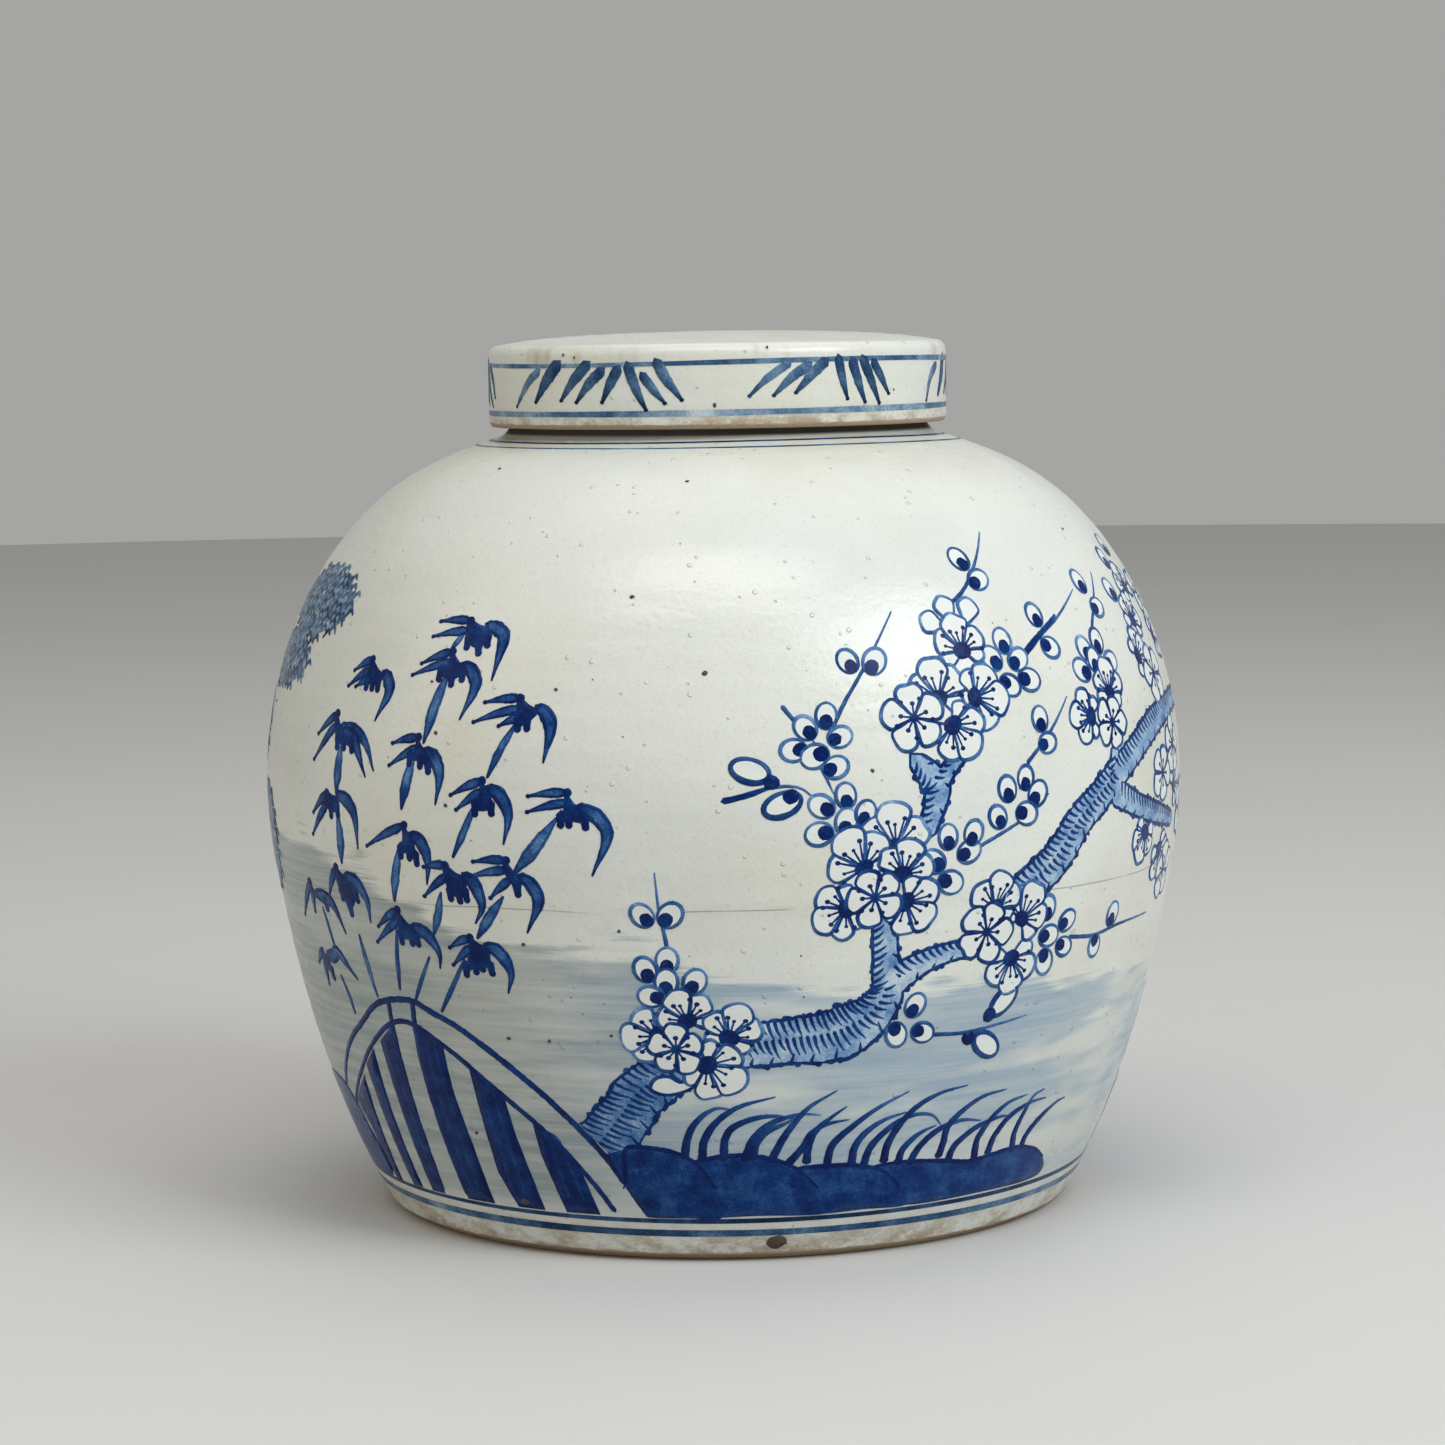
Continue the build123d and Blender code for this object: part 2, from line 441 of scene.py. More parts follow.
class Canvas:
    """Paint on one surface. Shapes are laid in order, and a later one covers an earlier one.

    Points of its plane are measured round the jar at mid height and up the curve of the surface, and
    lift is how far the paint stands on the glaze.
    """

    def __init__(self, name, surface, body, slot, lift):
        self.name, self.surface, self.body, self.slot, self.lift = name, surface, body, slot, lift
        self.shapes = []
        # a degree round the jar in millimetres, at the belly
        self.degree = math.radians(float(surface.radius(surface.up(BELLY_HEIGHT))))

    def plane(self, points):
        """(azimuth, height) places as points of the plane."""
        pts = np.array(points, float)
        return np.stack([pts[:, 0] * self.degree, self.surface.up(pts[:, 1])], axis=1)

    def stretch(self, rises):
        """Plane widths for a millimetre on the surface, at these rises."""
        return self.degree / np.radians(self.surface.radius(rises))

    def around(self, centre, offsets):
        """Millimetre offsets (right, up) about an (azimuth, height) place, as points of the plane."""
        middle = self.plane([centre])[0]
        off = np.array(offsets, float)
        wide = float(self.stretch(middle[1:2])[0])
        return middle + off * np.array([wide, 1.0])

    def course(self, spine, widths):
        """At each point of a path: a millimetre's step forward and one to the left, and half its width."""
        wide = self.stretch(spine[:, 1])
        along = np.gradient(spine, axis=0)
        along[:, 0] /= wide
        along /= np.maximum(np.linalg.norm(along, axis=1), 1e-9)[:, None]
        unit = np.stack([wide, np.ones(len(wide))], axis=1)
        left = np.stack([-along[:, 1], along[:, 0]], axis=1) * unit
        half = np.interp(np.linspace(0, 1, len(spine)), np.linspace(0, 1, len(widths)), widths) / 2
        return along * unit, left, half

    def ribbon(self, spine, widths, ink, rough=0.05, mottle=0.04, barbs=0.0, opaque=False):
        """A brush stroke along points of the plane, with widths in millimetres along it."""
        forward, left, half = self.course(spine, widths)
        sides = []
        for way in (1, -1):
            edge = half * np.array([1 + wander(rough) + max(0.0, wander(1) - 0.72) * barbs for _ in spine])
            sides.append(spine + way * left * edge[:, None])
        tip = spine[-1] + forward[-1] * half[-1]
        tail = spine[0] - forward[0] * half[0]
        outline = np.vstack([sides[0], tip, sides[1][::-1], tail])
        broad = max(widths) > BROAD_WIDTH
        self.shapes.append(Shape(outline, spine, ink, broad=broad, mottle=mottle, opaque=opaque))

    def stroke(self, points, widths, ink, **more):
        """A brush stroke through (azimuth, height) places."""
        self.ribbon(smooth_path(self.plane(points)), widths, ink, **more)

    def stroke_near(self, centre, offsets, widths, ink, step=LINE_STEP, **more):
        """A brush stroke through millimetre offsets about a place."""
        self.ribbon(smooth_path(self.around(centre, offsets), step), widths, ink, **more)

    def blob(self, points, ink, mottle=0.06, sharp=False):
        """A filled area of the plane with a smooth or a straight-sided outline."""
        pts = self.plane(points)
        if sharp:
            closed = np.vstack([pts, pts[:1]])
            edge = np.vstack([straight(closed[i], closed[i + 1], 1.5)[:-1] for i in range(len(pts))])
        else:
            edge = smooth_path(pts, closed=True)[:-1]
        self.shapes.append(Shape(edge, None, [ink], broad=True, mottle=mottle))

    def spot(self, centre, width, height, ink, turn=0.0, offset=(0.0, 0.0), count=12, rough=0.06):
        """A dab of the brush: a slightly uneven ellipse, offset in millimetres from its centre."""
        angles = np.linspace(0, math.tau, count, endpoint=False)
        reach = np.array([1 + wander(rough) for _ in angles])
        x, y = np.cos(angles) * width / 2 * reach, np.sin(angles) * height / 2 * reach
        c, s = math.cos(turn), math.sin(turn)
        pts = np.stack([x * c - y * s, x * s + y * c], axis=1) + np.array(offset)
        self.shapes.append(Shape(self.around(centre, pts), None, [ink], mottle=0.03))

    def loop(self, centre, offsets, width, ink):
        """A closed outline, drawn anticlockwise and filled with the palest tone."""
        path = smooth_path(offsets, 0.95, closed=True)[:-1]
        along = np.roll(path, -1, axis=0) - np.roll(path, 1, axis=0)
        along /= np.maximum(np.linalg.norm(along, axis=1), 1e-9)[:, None]
        out = np.stack([along[:, 1], -along[:, 0]], axis=1)
        turn = RANDOM.uniform(0, math.tau)
        swell = 1 + 0.22 * np.sin(np.linspace(0, math.tau, len(path), endpoint=False) + turn)
        half = out * (width / 2 * swell * np.array([1 + wander(0.08) for _ in path]))[:, None]
        spine = self.around(centre, path)
        self.shapes.append(Shape(self.around(centre, path + half), spine, ink, mottle=0.04))
        self.shapes.append(Shape(self.around(centre, path - half), None, [0.0]))

    def erase(self, points):
        """Leaves a larger area unpainted, given by its (azimuth, height) corners."""
        self.shapes.append(Shape(self.plane(points), None, None))

    def cut(self):
        """The plane's points and triangles, cut along all the outlines."""
        verts, edges = [], []
        for shape in self.shapes:
            start, count = len(verts), len(shape.outline)
            verts += shape.outline.tolist()
            edges += [(start + i, start + (i + 1) % count) for i in range(count)]
        for shape in self.shapes:
            if shape.broad:
                verts += shape.fill_points()
        pieces = delaunay_2d_cdt([Vector(v) for v in verts], edges, [], 0, 1e-4, False)
        return np.array([tuple(v) for v in pieces[0]]), np.array([f for f in pieces[2] if len(f) == 3])

    def owners(self, centres):
        """For each triangle: the shape on top, -1 where it is bare, and the ink of the layers below."""
        owner = np.full(len(centres), -1)
        under, top = np.zeros(len(centres)), np.zeros(len(centres))
        for index, shape in enumerate(self.shapes):
            near = np.flatnonzero(((centres > shape.low) & (centres < shape.high)).all(axis=1))
            inside = near[winding(shape.outline, centres[near])] if len(near) else near
            if not len(inside):
                continue
            if shape.ink is None:
                owner[inside], under[inside], top[inside] = -1, 0.0, 0.0
            else:
                hides = shape.opaque or np.mean(shape.ink) < FAINT_INK
                under[inside] = (0.0 if hides else UNDER_SHARE) * (top[inside] + under[inside])
                top[inside] = float(np.mean(shape.ink))
                owner[inside] = index
        return owner, under

    def finish(self, material):
        """Cuts the plane along all outlines, keeps the painted faces and wraps them on the surface."""
        plane, tris = self.cut()
        owner, under = self.owners(plane[tris].mean(axis=1))
        kept = owner >= 0
        tris, owner, under = tris[kept], owner[kept], under[kept]
        ink = np.zeros((len(tris), 3))
        for index in np.unique(owner):
            mine = owner == index
            corners = plane[tris[mine]].reshape(-1, 2)
            ink[mine] = self.shapes[index].strength(corners).reshape(-1, 3)
        ink = 1 - (1 - np.clip(ink, 0.0, 1.0)) * (1 - np.clip(under, 0, 0.6))[:, None]
        shell(self, plane, tris, ink, material)


def shell(canvas, plane, tris, ink, material):
    """A closed thin shell on the canvas's surface from triangles of its plane."""
    used, tris = np.unique(tris, return_inverse=True)
    tris = tris.reshape(-1, 3)
    plane = plane[used]
    span = plane[tris]
    turned_over = np.cross(span[:, 1] - span[:, 0], span[:, 2] - span[:, 0]) < 0
    tris[turned_over] = tris[turned_over][:, ::-1]
    ink[turned_over] = ink[turned_over][:, ::-1]
    azimuth, rise = plane[:, 0] / canvas.degree, plane[:, 1]
    levels = [canvas.surface.place(azimuth, rise, level) for level in (canvas.lift, PAINT_ROOT)]
    count = len(plane)
    sides, side_ink = (np.vstack([each[:, [0, 1]], each[:, [1, 2]], each[:, [2, 0]]]) for each in (tris, ink))
    rim = ~np.isin(sides[:, 0] * count + sides[:, 1], sides[:, 1] * count + sides[:, 0])
    a, b = sides[rim].T
    faces = tris.tolist() + (tris[:, ::-1] + count).tolist()
    faces += np.stack([b, a, a + count, b + count], axis=1).tolist()
    ia, ib = side_ink[rim].T
    values = np.concatenate([ink.ravel(), ink[:, ::-1].ravel(), np.stack([ib, ia, ia, ib], axis=1).ravel()])
    piece = new_piece(canvas.name, np.vstack(levels), faces)
    piece.data.polygons.foreach_set("use_smooth", [len(face) == 3 for face in faces])
    store(piece.data, "ink", "CORNER", values)
    piece.data.materials.append(material)
    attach(piece, canvas.body)


def wall_canvas(name, lift):
    """A canvas for cobalt on the jar's wall."""
    return Canvas(name, WALL_SURFACE, "jar", "cobalt", lift)


LINE_COLUMNS = 720
LINE_ROWS = (-0.5, -0.25, 0.0, 0.25, 0.5)


def band(low, high, tone, flip):
    """Four-sided faces between two rings of points, and the ink of their corners."""
    here = np.arange(LINE_COLUMNS)
    after = (here + 1) % LINE_COLUMNS
    quad = np.stack([low + here, low + after, high + after, high + here], axis=1)
    ink = np.stack([tone[here], tone[after], tone[after], tone[here]], axis=1)
    return (quad[:, ::-1], ink[:, ::-1]) if flip else (quad, ink)


def ring(name, surface, body, lines, material):
    """Painted lines round the whole piece: each line gives height(azimuth), width and ink functions."""
    azimuth = np.arange(LINE_COLUMNS) * 360.0 / LINE_COLUMNS
    last = len(LINE_ROWS) - 1
    verts, bands = [], []
    for height, width, ink in lines:
        start = len(verts)
        centre, tone = surface.up(height(azimuth)), ink(azimuth)
        for level in (LINE_LIFT, PAINT_ROOT):
            for across in LINE_ROWS:
                verts += surface.place(azimuth, centre + across * width(azimuth), level).tolist()
        first = [start + row * LINE_COLUMNS for row in range(2 * len(LINE_ROWS))]
        top, root = first[:last + 1], first[last + 1:]
        bands += [band(low, high, tone, False) for low, high in zip(top, top[1:])]
        bands += [band(low, high, tone, True) for low, high in zip(root, root[1:])]
        bands += [band(root[0], top[0], tone, False), band(root[last], top[last], tone, True)]
    piece = new_piece(name, verts, np.vstack([quad for quad, _ in bands]).tolist())
    store(piece.data, "ink", "CORNER", np.concatenate([ink.ravel() for _, ink in bands]))
    piece.data.materials.append(material)
    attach(piece, body)


# --- Materials --------------------------------------------------------------------------
class Nodes:
    """Short hand for building one material's nodes."""

    def __init__(self, name):
        self.material = bpy.data.materials.new(name)
        self.material.use_nodes = True
        self.tree = self.material.node_tree
        self.shader = self.tree.nodes["Principled BSDF"]

    def add(self, kind, inputs=None, **settings):
        """A new node with these settings, and a value or a link for each of these inputs."""
        node = self.tree.nodes.new(kind)
        for key, value in settings.items():
            setattr(node, key, value)
        for key, value in (inputs or {}).items():
            self.put(node.inputs[key], value)
        return node

    def put(self, socket, value):
        """Links an output to the socket, or sets the socket to a constant."""
        if isinstance(value, bpy.types.NodeSocket):
            self.tree.links.new(value, socket)
        else:
            socket.default_value = value

    def shade(self, name, value):
        """Sets one of the shader's own inputs."""
        self.put(self.shader.inputs[name], value)

    def math(self, operation, a, b=0.0, clamp=False):
        """The result of one sum."""
        node = self.add("ShaderNodeMath", {0: a, 1: b}, operation=operation, use_clamp=clamp)
        return node.outputs[0]

    def times(self, first, *rest, clamp=False):
        """The product of two or more values, clamped to 0..1 at the end if asked."""
        for index, value in enumerate(rest):
            first = self.math("MULTIPLY", first, value, clamp and index == len(rest) - 1)
        return first

    def object_place(self):
        """The place on the object, in metres."""
        return self.add("ShaderNodeTexCoord").outputs["Object"]

    def split(self, vector):
        """The three parts of a vector."""
        return self.add("ShaderNodeSeparateXYZ", {0: vector}).outputs

    def stretched(self, vector, x, y, z):
        """A vector with its three parts scaled."""
        return self.add("ShaderNodeMapping", {"Vector": vector, "Scale": (x, y, z)}).outputs[0]

    def noise(self, vector, scale, detail=3.0, rough=0.55):
        """Cloudy noise around 0.5."""
        inputs = {"Vector": vector, "Scale": scale, "Detail": detail, "Roughness": rough}
        return self.add("ShaderNodeTexNoise", inputs).outputs[0]

    def fade(self, value, low, high, to_low=0.0, to_high=1.0):
        """A value carried smoothly from one range to another, and held at its ends."""
        inputs = {"Value": value, "From Min": low, "From Max": high, "To Min": to_low, "To Max": to_high}
        return self.add("ShaderNodeMapRange", inputs, interpolation_type="SMOOTHSTEP").outputs[0]

    def blend(self, factor, a, b):
        """A mix of two numbers."""
        return self.add("ShaderNodeMix", {0: factor, 2: a, 3: b}, data_type="FLOAT").outputs[0]

    def mix(self, factor, a, b):
        """A mix of two colours."""
        node = self.add("ShaderNodeMix", data_type="RGBA")
        colour = [s for s in node.inputs if s.type == "RGBA"]
        self.put(node.inputs[0], factor)
        self.put(colour[0], a)
        self.put(colour[1], b)
        return [s for s in node.outputs if s.type == "RGBA"][0]

    def tint(self, colour, mask, amount, target):
        """A colour moved by an amount towards another where the mask is 1."""
        return self.mix(self.times(mask, amount), colour, target)

    def dots(self, vector, scale, radius):
        """1 inside small round dots of a given radius in metres, scattered through space."""
        cell = self.add("ShaderNodeTexVoronoi", {"Vector": vector, "Scale": scale}).outputs["Distance"]
        return self.fade(cell, radius * scale, radius * scale * 0.55)

    def bump(self, height, distance, normal=None):
        """A normal tilted by a height pattern, on top of an earlier normal if there is one."""
        inputs = {"Height": height, "Distance": distance, "Strength": 1.0}
        if normal is not None:
            inputs["Normal"] = normal
        return self.add("ShaderNodeBump", inputs).outputs[0]

    def ramp(self, factor, stops):
        """The colour at a place along a row of (place, colour) stops."""
        node = self.add("ShaderNodeValToRGB", {0: factor})
        band = node.color_ramp
        while len(band.elements) < len(stops):
            band.elements.new(0.5)
        for element, (at, colour) in zip(band.elements, stops):
            element.position = at
            element.color = (*colour, 1.0)
        return node.outputs[0]


GLAZE_PALE = (0.690, 0.706, 0.650, 1.0)
GLAZE_WARM = (0.600, 0.580, 0.460, 1.0)
GLAZE_COOL = (0.600, 0.640, 0.620, 1.0)
WASH_BLUE = (0.265, 0.365, 0.450, 1.0)
WASH_GREY = (0.255, 0.300, 0.305, 1.0)
CLAY = (0.330, 0.225, 0.135, 1.0)
CLAY_PALE = (0.47, 0.37, 0.25, 1.0)
STAIN = (0.330, 0.245, 0.150, 1.0)
# near-black brown for the neck: painted shade under the lid, with some brown stain
NECK_STAIN_AND_SHADE = (0.060, 0.042, 0.030, 1.0)
SEAM_SHADE = (0.165, 0.150, 0.120, 1.0)
IRON = (0.030, 0.018, 0.012, 1.0)
IRON_BROWN = (0.085, 0.055, 0.036, 1.0)
FLOOR_GREY = (0.60, 0.595, 0.58, 1.0)
FLOOR_PALE = (0.63, 0.625, 0.61, 1.0)
GLAZE_ROUGHNESS = 0.20
CLAY_ROUGHNESS = 0.86
WASH_TOP_M = 0.0945        # the height at which the wash ends in front
WASH_SLOPE_M = 0.023       # how much lower it ends on the right, and higher on the left
WASH_FOOT_M = (0.010, 0.022)
# the heights over which the neck darkens: painted shade under the lid, partly a stain
NECK_STAIN_AND_SHADE_M = (0.2343, 0.2352)
DRIPS_LOW_M = (0.2550, 0.2568)
DRIPS_HIGH_M = (0.2625, 0.2595)


def glaze_skin(nodes, place):
    """The orange-peel skin, grains and pinholes that the glaze has over clay and cobalt alike."""
    waves = nodes.bump(nodes.noise(nodes.stretched(place, 1, 1, 2.5), 60.0, 2.0), 0.00022)
    skin = nodes.bump(nodes.noise(place, 420.0, 4.0, 0.68), 0.00015, waves)
    grains = nodes.bump(nodes.dots(place, 120.0, 0.0008), 0.00032, skin)
    pits = nodes.times(nodes.dots(nodes.stretched(place, 1.01, 0.99, 1.03), 150.0, 0.0005), -1.0)
    return nodes.bump(pits, 0.0004, grains)


def glaze_sheen(nodes, place):
    """The roughness of the glaze, which varies a little from place to place."""
    return nodes.fade(nodes.noise(place, 35.0, 3.0), 0.35, 0.7, GLAZE_ROUGHNESS, GLAZE_ROUGHNESS + 0.08)


def glaze_clouds(nodes, place):
    """The pale glaze with its warmer clouds, cooler patches and fine brown grain."""
    cloud = nodes.noise(place, 14.0, 4.0)
    colour = nodes.mix(nodes.fade(cloud, 0.42, 0.72, 0.0, 0.55), GLAZE_PALE, GLAZE_WARM)
    patch = nodes.noise(nodes.stretched(place, 1.3, 1, 1.8), 9.0, 3.0)
    colour = nodes.mix(nodes.fade(patch, 0.45, 0.70, 0.0, 0.45), colour, GLAZE_COOL)
    grain = nodes.noise(place, 900.0, 3.0, 0.7)
    return nodes.mix(nodes.fade(grain, 0.52, 0.76, 0.0, 0.20), colour, STAIN)


def seam_line(nodes, place, height):
    """1 along the thin broken line where the two thrown halves of the wall were joined."""
    drift = nodes.fade(nodes.noise(place, 12.0, 2.0), 0.3, 0.7, -0.0008, 0.0008)
    at = nodes.math("ADD", SEAM_HEIGHT * MM, drift)
    away = nodes.math("ABSOLUTE", nodes.math("SUBTRACT", height, at))
    broken = nodes.fade(nodes.noise(place, 40.0, 3.0), 0.34, 0.50)
    return nodes.times(nodes.fade(away, 0.00030, 0.00008), broken)


def brushed_wash(nodes, place, height, colour):
    """Thin blue-grey brush streaks round the lower half, higher and greyer left of the front."""
    x, y, _ = nodes.split(place)
    across = nodes.math("SQRT", nodes.math("ADD", nodes.times(x, x), nodes.times(y, y)))
    rightness = nodes.math("DIVIDE", x, nodes.math("MAXIMUM", 0.02, across))
    edge = nodes.math("SUBTRACT", WASH_TOP_M, nodes.times(rightness, WASH_SLOPE_M))
    broad = nodes.noise(nodes.stretched(place, 1, 1, 3.0), 10.0, 3.0, 0.6)
    patches = nodes.noise(nodes.stretched(place, 1, 1, 4.2), 12.0, 3.0, 0.55)
    fibres = nodes.noise(nodes.stretched(place, 1, 1, 24.0), 17.0, 5.0, 0.68)
    drift = nodes.math("ADD", nodes.fade(broad, 0.3, 0.7, -0.011, 0.011),
                       nodes.fade(fibres, 0.3, 0.7, -0.003, 0.003))
    lifted = nodes.math("ADD", nodes.math("SUBTRACT", edge, height), drift)
    inside = nodes.fade(lifted, -0.0015, 0.0045)
    left = nodes.fade(rightness, 0.05, -0.50)
    patchy = nodes.fade(patches, 0.35, 0.53, 0.16, 0.84)
    body = nodes.blend(left, patchy, nodes.math("ADD", 0.58, nodes.times(patchy, 0.42)))
    fine = nodes.fade(fibres, 0.32, 0.68, 0.74, 1.12)
    strength = nodes.times(nodes.times(inside, nodes.fade(height, *WASH_FOOT_M)), nodes.times(body, fine),
                           clamp=True)
    return nodes.mix(strength, colour, nodes.mix(left, WASH_BLUE, WASH_GREY))


def wall_marks(nodes, place, height, colour):
    """What only the jar has: the wash, the seam, and the dark band on the neck, which is painted shade under
    the lid together with a brown stain.
    """
    colour = brushed_wash(nodes, place, height, colour)
    colour = nodes.tint(colour, seam_line(nodes, place, height), 0.60, SEAM_SHADE)
    # everything above this height, the neck, rim and mouth, darkened nearly to black: painted shade under the
    # lid, partly a brown stain
    return nodes.tint(colour, nodes.fade(height, *NECK_STAIN_AND_SHADE_M), 0.85, NECK_STAIN_AND_SHADE)


def foot_stain_and_shade(nodes, place, height, colour, low, high):
    """Brown stain blotches that thin out from a low height to a high one; at the jar's foot their darkening
    towards the bottom is also painted shade where the jar stands.
    """
    blotch = nodes.fade(nodes.noise(nodes.stretched(place, 1, 1, 1.6), 95.0, 6.0, 0.80), 0.38, 0.62)
    return nodes.tint(colour, nodes.times(nodes.fade(height, high, low), blotch), 0.85, STAIN)


def lid_drips(nodes, place, height, colour):
    """Short brown drips under the upper edge of the lid."""
    drips = nodes.fade(nodes.noise(nodes.stretched(place, 1, 1, 0.35), 55.0, 3.0, 0.6), 0.56, 0.70)
    where = nodes.times(nodes.fade(height, *DRIPS_LOW_M), nodes.fade(height, *DRIPS_HIGH_M))
    return nodes.tint(colour, nodes.times(drips, where), 0.55, STAIN)


def glaze_material(name, on_jar, stain_and_shade_low, stain_and_shade_high):
    """Glazed stoneware, with bare clay where the vertex attribute says so."""
    nodes = Nodes(name)
    place = nodes.object_place()
    height = nodes.split(place)[2]
    colour = glaze_clouds(nodes, place)
    if on_jar:
        colour = wall_marks(nodes, place, height, colour)
    # brown stain blotches, densest low down; on the jar's foot they are partly painted shade near the floor
    colour = foot_stain_and_shade(nodes, place, height, colour, stain_and_shade_low, stain_and_shade_high)
    if not on_jar:
        colour = lid_drips(nodes, place, height, colour)
    colour = nodes.tint(colour, nodes.dots(place, 80.0, 0.00036), 0.85, IRON)
    colour = nodes.tint(colour, nodes.dots(place, 150.0, 0.00025), 0.6, STAIN)
    bare = nodes.add("ShaderNodeAttribute", attribute_name="bare").outputs["Fac"]
    ragged = nodes.math("ADD", bare, nodes.fade(nodes.noise(place, 260.0, 4.0), 0.3, 0.7, -0.25, 0.25))
    clay = nodes.fade(ragged, 0.42, 0.60)
    gritty = nodes.mix(nodes.noise(place, 700.0, 4.0, 0.7), CLAY, CLAY_PALE)
    nodes.shade("Base Color", nodes.mix(clay, colour, gritty))
    nodes.shade("Roughness", nodes.blend(clay, glaze_sheen(nodes, place), CLAY_ROUGHNESS))
    grit = nodes.times(nodes.noise(place, 1100.0, 3.0, 0.7), clay)
    nodes.shade("Normal", nodes.bump(grit, 0.0004, glaze_skin(nodes, place)))
    nodes.shader.inputs["IOR"].default_value = 1.5
    return nodes.material


COBALT_STOPS = [(0.0, (0.700, 0.725, 0.690)), (0.12, (0.470, 0.560, 0.620)), (0.28, (0.245, 0.375, 0.550)),
                (0.45, (0.082, 0.192, 0.395)), (0.62, (0.024, 0.088, 0.245)), (0.82, (0.003, 0.036, 0.165)),
                (1.0, (0.001, 0.011, 0.085))]
FADED_STOPS = [(0.0, (0.690, 0.700, 0.650)), (0.12, (0.480, 0.540, 0.570)), (0.28, (0.270, 0.360, 0.440)),
               (0.45, (0.108, 0.195, 0.310)), (0.62, (0.036, 0.093, 0.190)), (0.82, (0.010, 0.038, 0.105)),
               (1.0, (0.004, 0.012, 0.038))]


def cobalt_material(name, stops):
    """Brushed cobalt: pale where the brush ran thin, near black where it pooled."""
    nodes = Nodes(name)
    place = nodes.object_place()
    ink = nodes.add("ShaderNodeAttribute", attribute_name="ink").outputs["Fac"]
    cloud = nodes.fade(nodes.noise(place, 150.0, 4.0, 0.6), 0.3, 0.7, -0.10, 0.10)
    grain = nodes.fade(nodes.noise(place, 1400.0, 2.0, 0.6), 0.3, 0.7, -0.06, 0.06)
    painted = nodes.fade(ink, 0.02, 0.25)
    texture = nodes.times(nodes.math("ADD", cloud, grain), painted)
    tone = nodes.math("ADD", ink, texture, clamp=True)
    nodes.shade("Base Color", nodes.ramp(tone, stops))
    nodes.shade("Roughness", glaze_sheen(nodes, place))
    nodes.shade("Normal", glaze_skin(nodes, place))
    nodes.shader.inputs["IOR"].default_value = 1.2
    return nodes.material


def iron_material():
    """Specks of iron that bled through the glaze, mottled brown and black."""
    nodes = Nodes("iron_speck")
    place = nodes.object_place()
    mottle = nodes.noise(place, 900.0, 4.0, 0.7)
    nodes.shade("Base Color", nodes.mix(mottle, IRON, IRON_BROWN))
    nodes.shade("Roughness", nodes.fade(mottle, 0.3, 0.7, 0.25, 0.5))
    nodes.shade("Normal", nodes.bump(mottle, 0.0002))
    return nodes.material


def floor_material():
    """A plain pale studio floor."""
    nodes = Nodes("studio_floor")
    place = nodes.object_place()
    nodes.shade("Base Color", nodes.mix(nodes.noise(place, 6.0, 3.0), FLOOR_GREY, FLOOR_PALE))
    nodes.shader.inputs["Roughness"].default_value = 0.7
    return nodes.material


COBALT = cobalt_material("cobalt", COBALT_STOPS)
FADED_COBALT = cobalt_material("cobalt_faded", FADED_STOPS)


# --- Stage, light and camera ------------------------------------------------------------
FLOOR_RADIUS = 4000.0
FLOOR_SIDES = 96
LIGHT_TARGET_M = (0.0, 0.0, 0.13)
LIGHTS = [
    # name, azimuth, elevation, distance in metres, size in metres, watts, colour
    ("window", 50, 34, 2.2, (1.3, 1.0), 28.0, (0.90, 0.955, 1.0)),
    ("front_window", -2, 62, 2.0, (1.5, 0.55), 12.0, (1.0, 0.99, 0.97)),
    ("warm_fill", -72, 26, 2.6, (1.8, 1.8), 8.0, (1.0, 0.86, 0.64)),
    ("top", 160, 72, 2.2, (1.8, 1.8), 8.0, (1.0, 1.0, 1.0)),
]
WORLD_COLOUR = (0.94, 0.94, 0.92, 1.0)
WORLD_STRENGTH = 0.40


def add_floor():
    """A wide round floor at the height that the jar stands on."""
    turns = np.linspace(0, math.tau, FLOOR_SIDES, endpoint=False)
    rim = [(FLOOR_RADIUS * math.cos(a), FLOOR_RADIUS * math.sin(a), 0.0) for a in turns]
    floor = new_piece("studio_floor", rim, [list(range(FLOOR_SIDES))])
    floor.data.materials.append(floor_material())


def add_softbox(name, azimuth, elevation, distance, size, power, colour):
    """A rectangular soft light aimed at the middle of the jar."""
    data = bpy.data.lights.new(name, "AREA")
    data.shape = "RECTANGLE"
    data.size, data.size_y = size
    data.energy = power
    data.color = colour
    light = bpy.data.objects.new(name, data)
    a, e = math.radians(azimuth), math.radians(elevation)
    toward = Vector((math.sin(a) * math.cos(e), -math.cos(a) * math.cos(e), math.sin(e)))
    light.location = Vector(LIGHT_TARGET_M) + toward * distance
    light.rotation_euler = (-toward).to_track_quat("-Z", "Y").to_euler()
    bpy.context.scene.collection.objects.link(light)


def add_lights():
    """The soft boxes, and an even light from all round."""
    for row in LIGHTS:
        add_softbox(*row)
    world = bpy.data.worlds.new("studio")
    world.use_nodes = True
    background = world.node_tree.nodes["Background"]
    background.inputs["Color"].default_value = WORLD_COLOUR
    background.inputs["Strength"].default_value = WORLD_STRENGTH
    bpy.context.scene.world = world


CAMERA_DISTANCE_M = 1.2406
CAMERA_HEIGHT_M = 0.2673
CAMERA_PITCH = 5.646       # degrees below the horizon
CAMERA_ROLL = 0.87         # degrees, which leans the jar slightly to the left
CAMERA_LENS = 100.7        # for the sensor's width below
SENSOR_WIDTH = 36.0


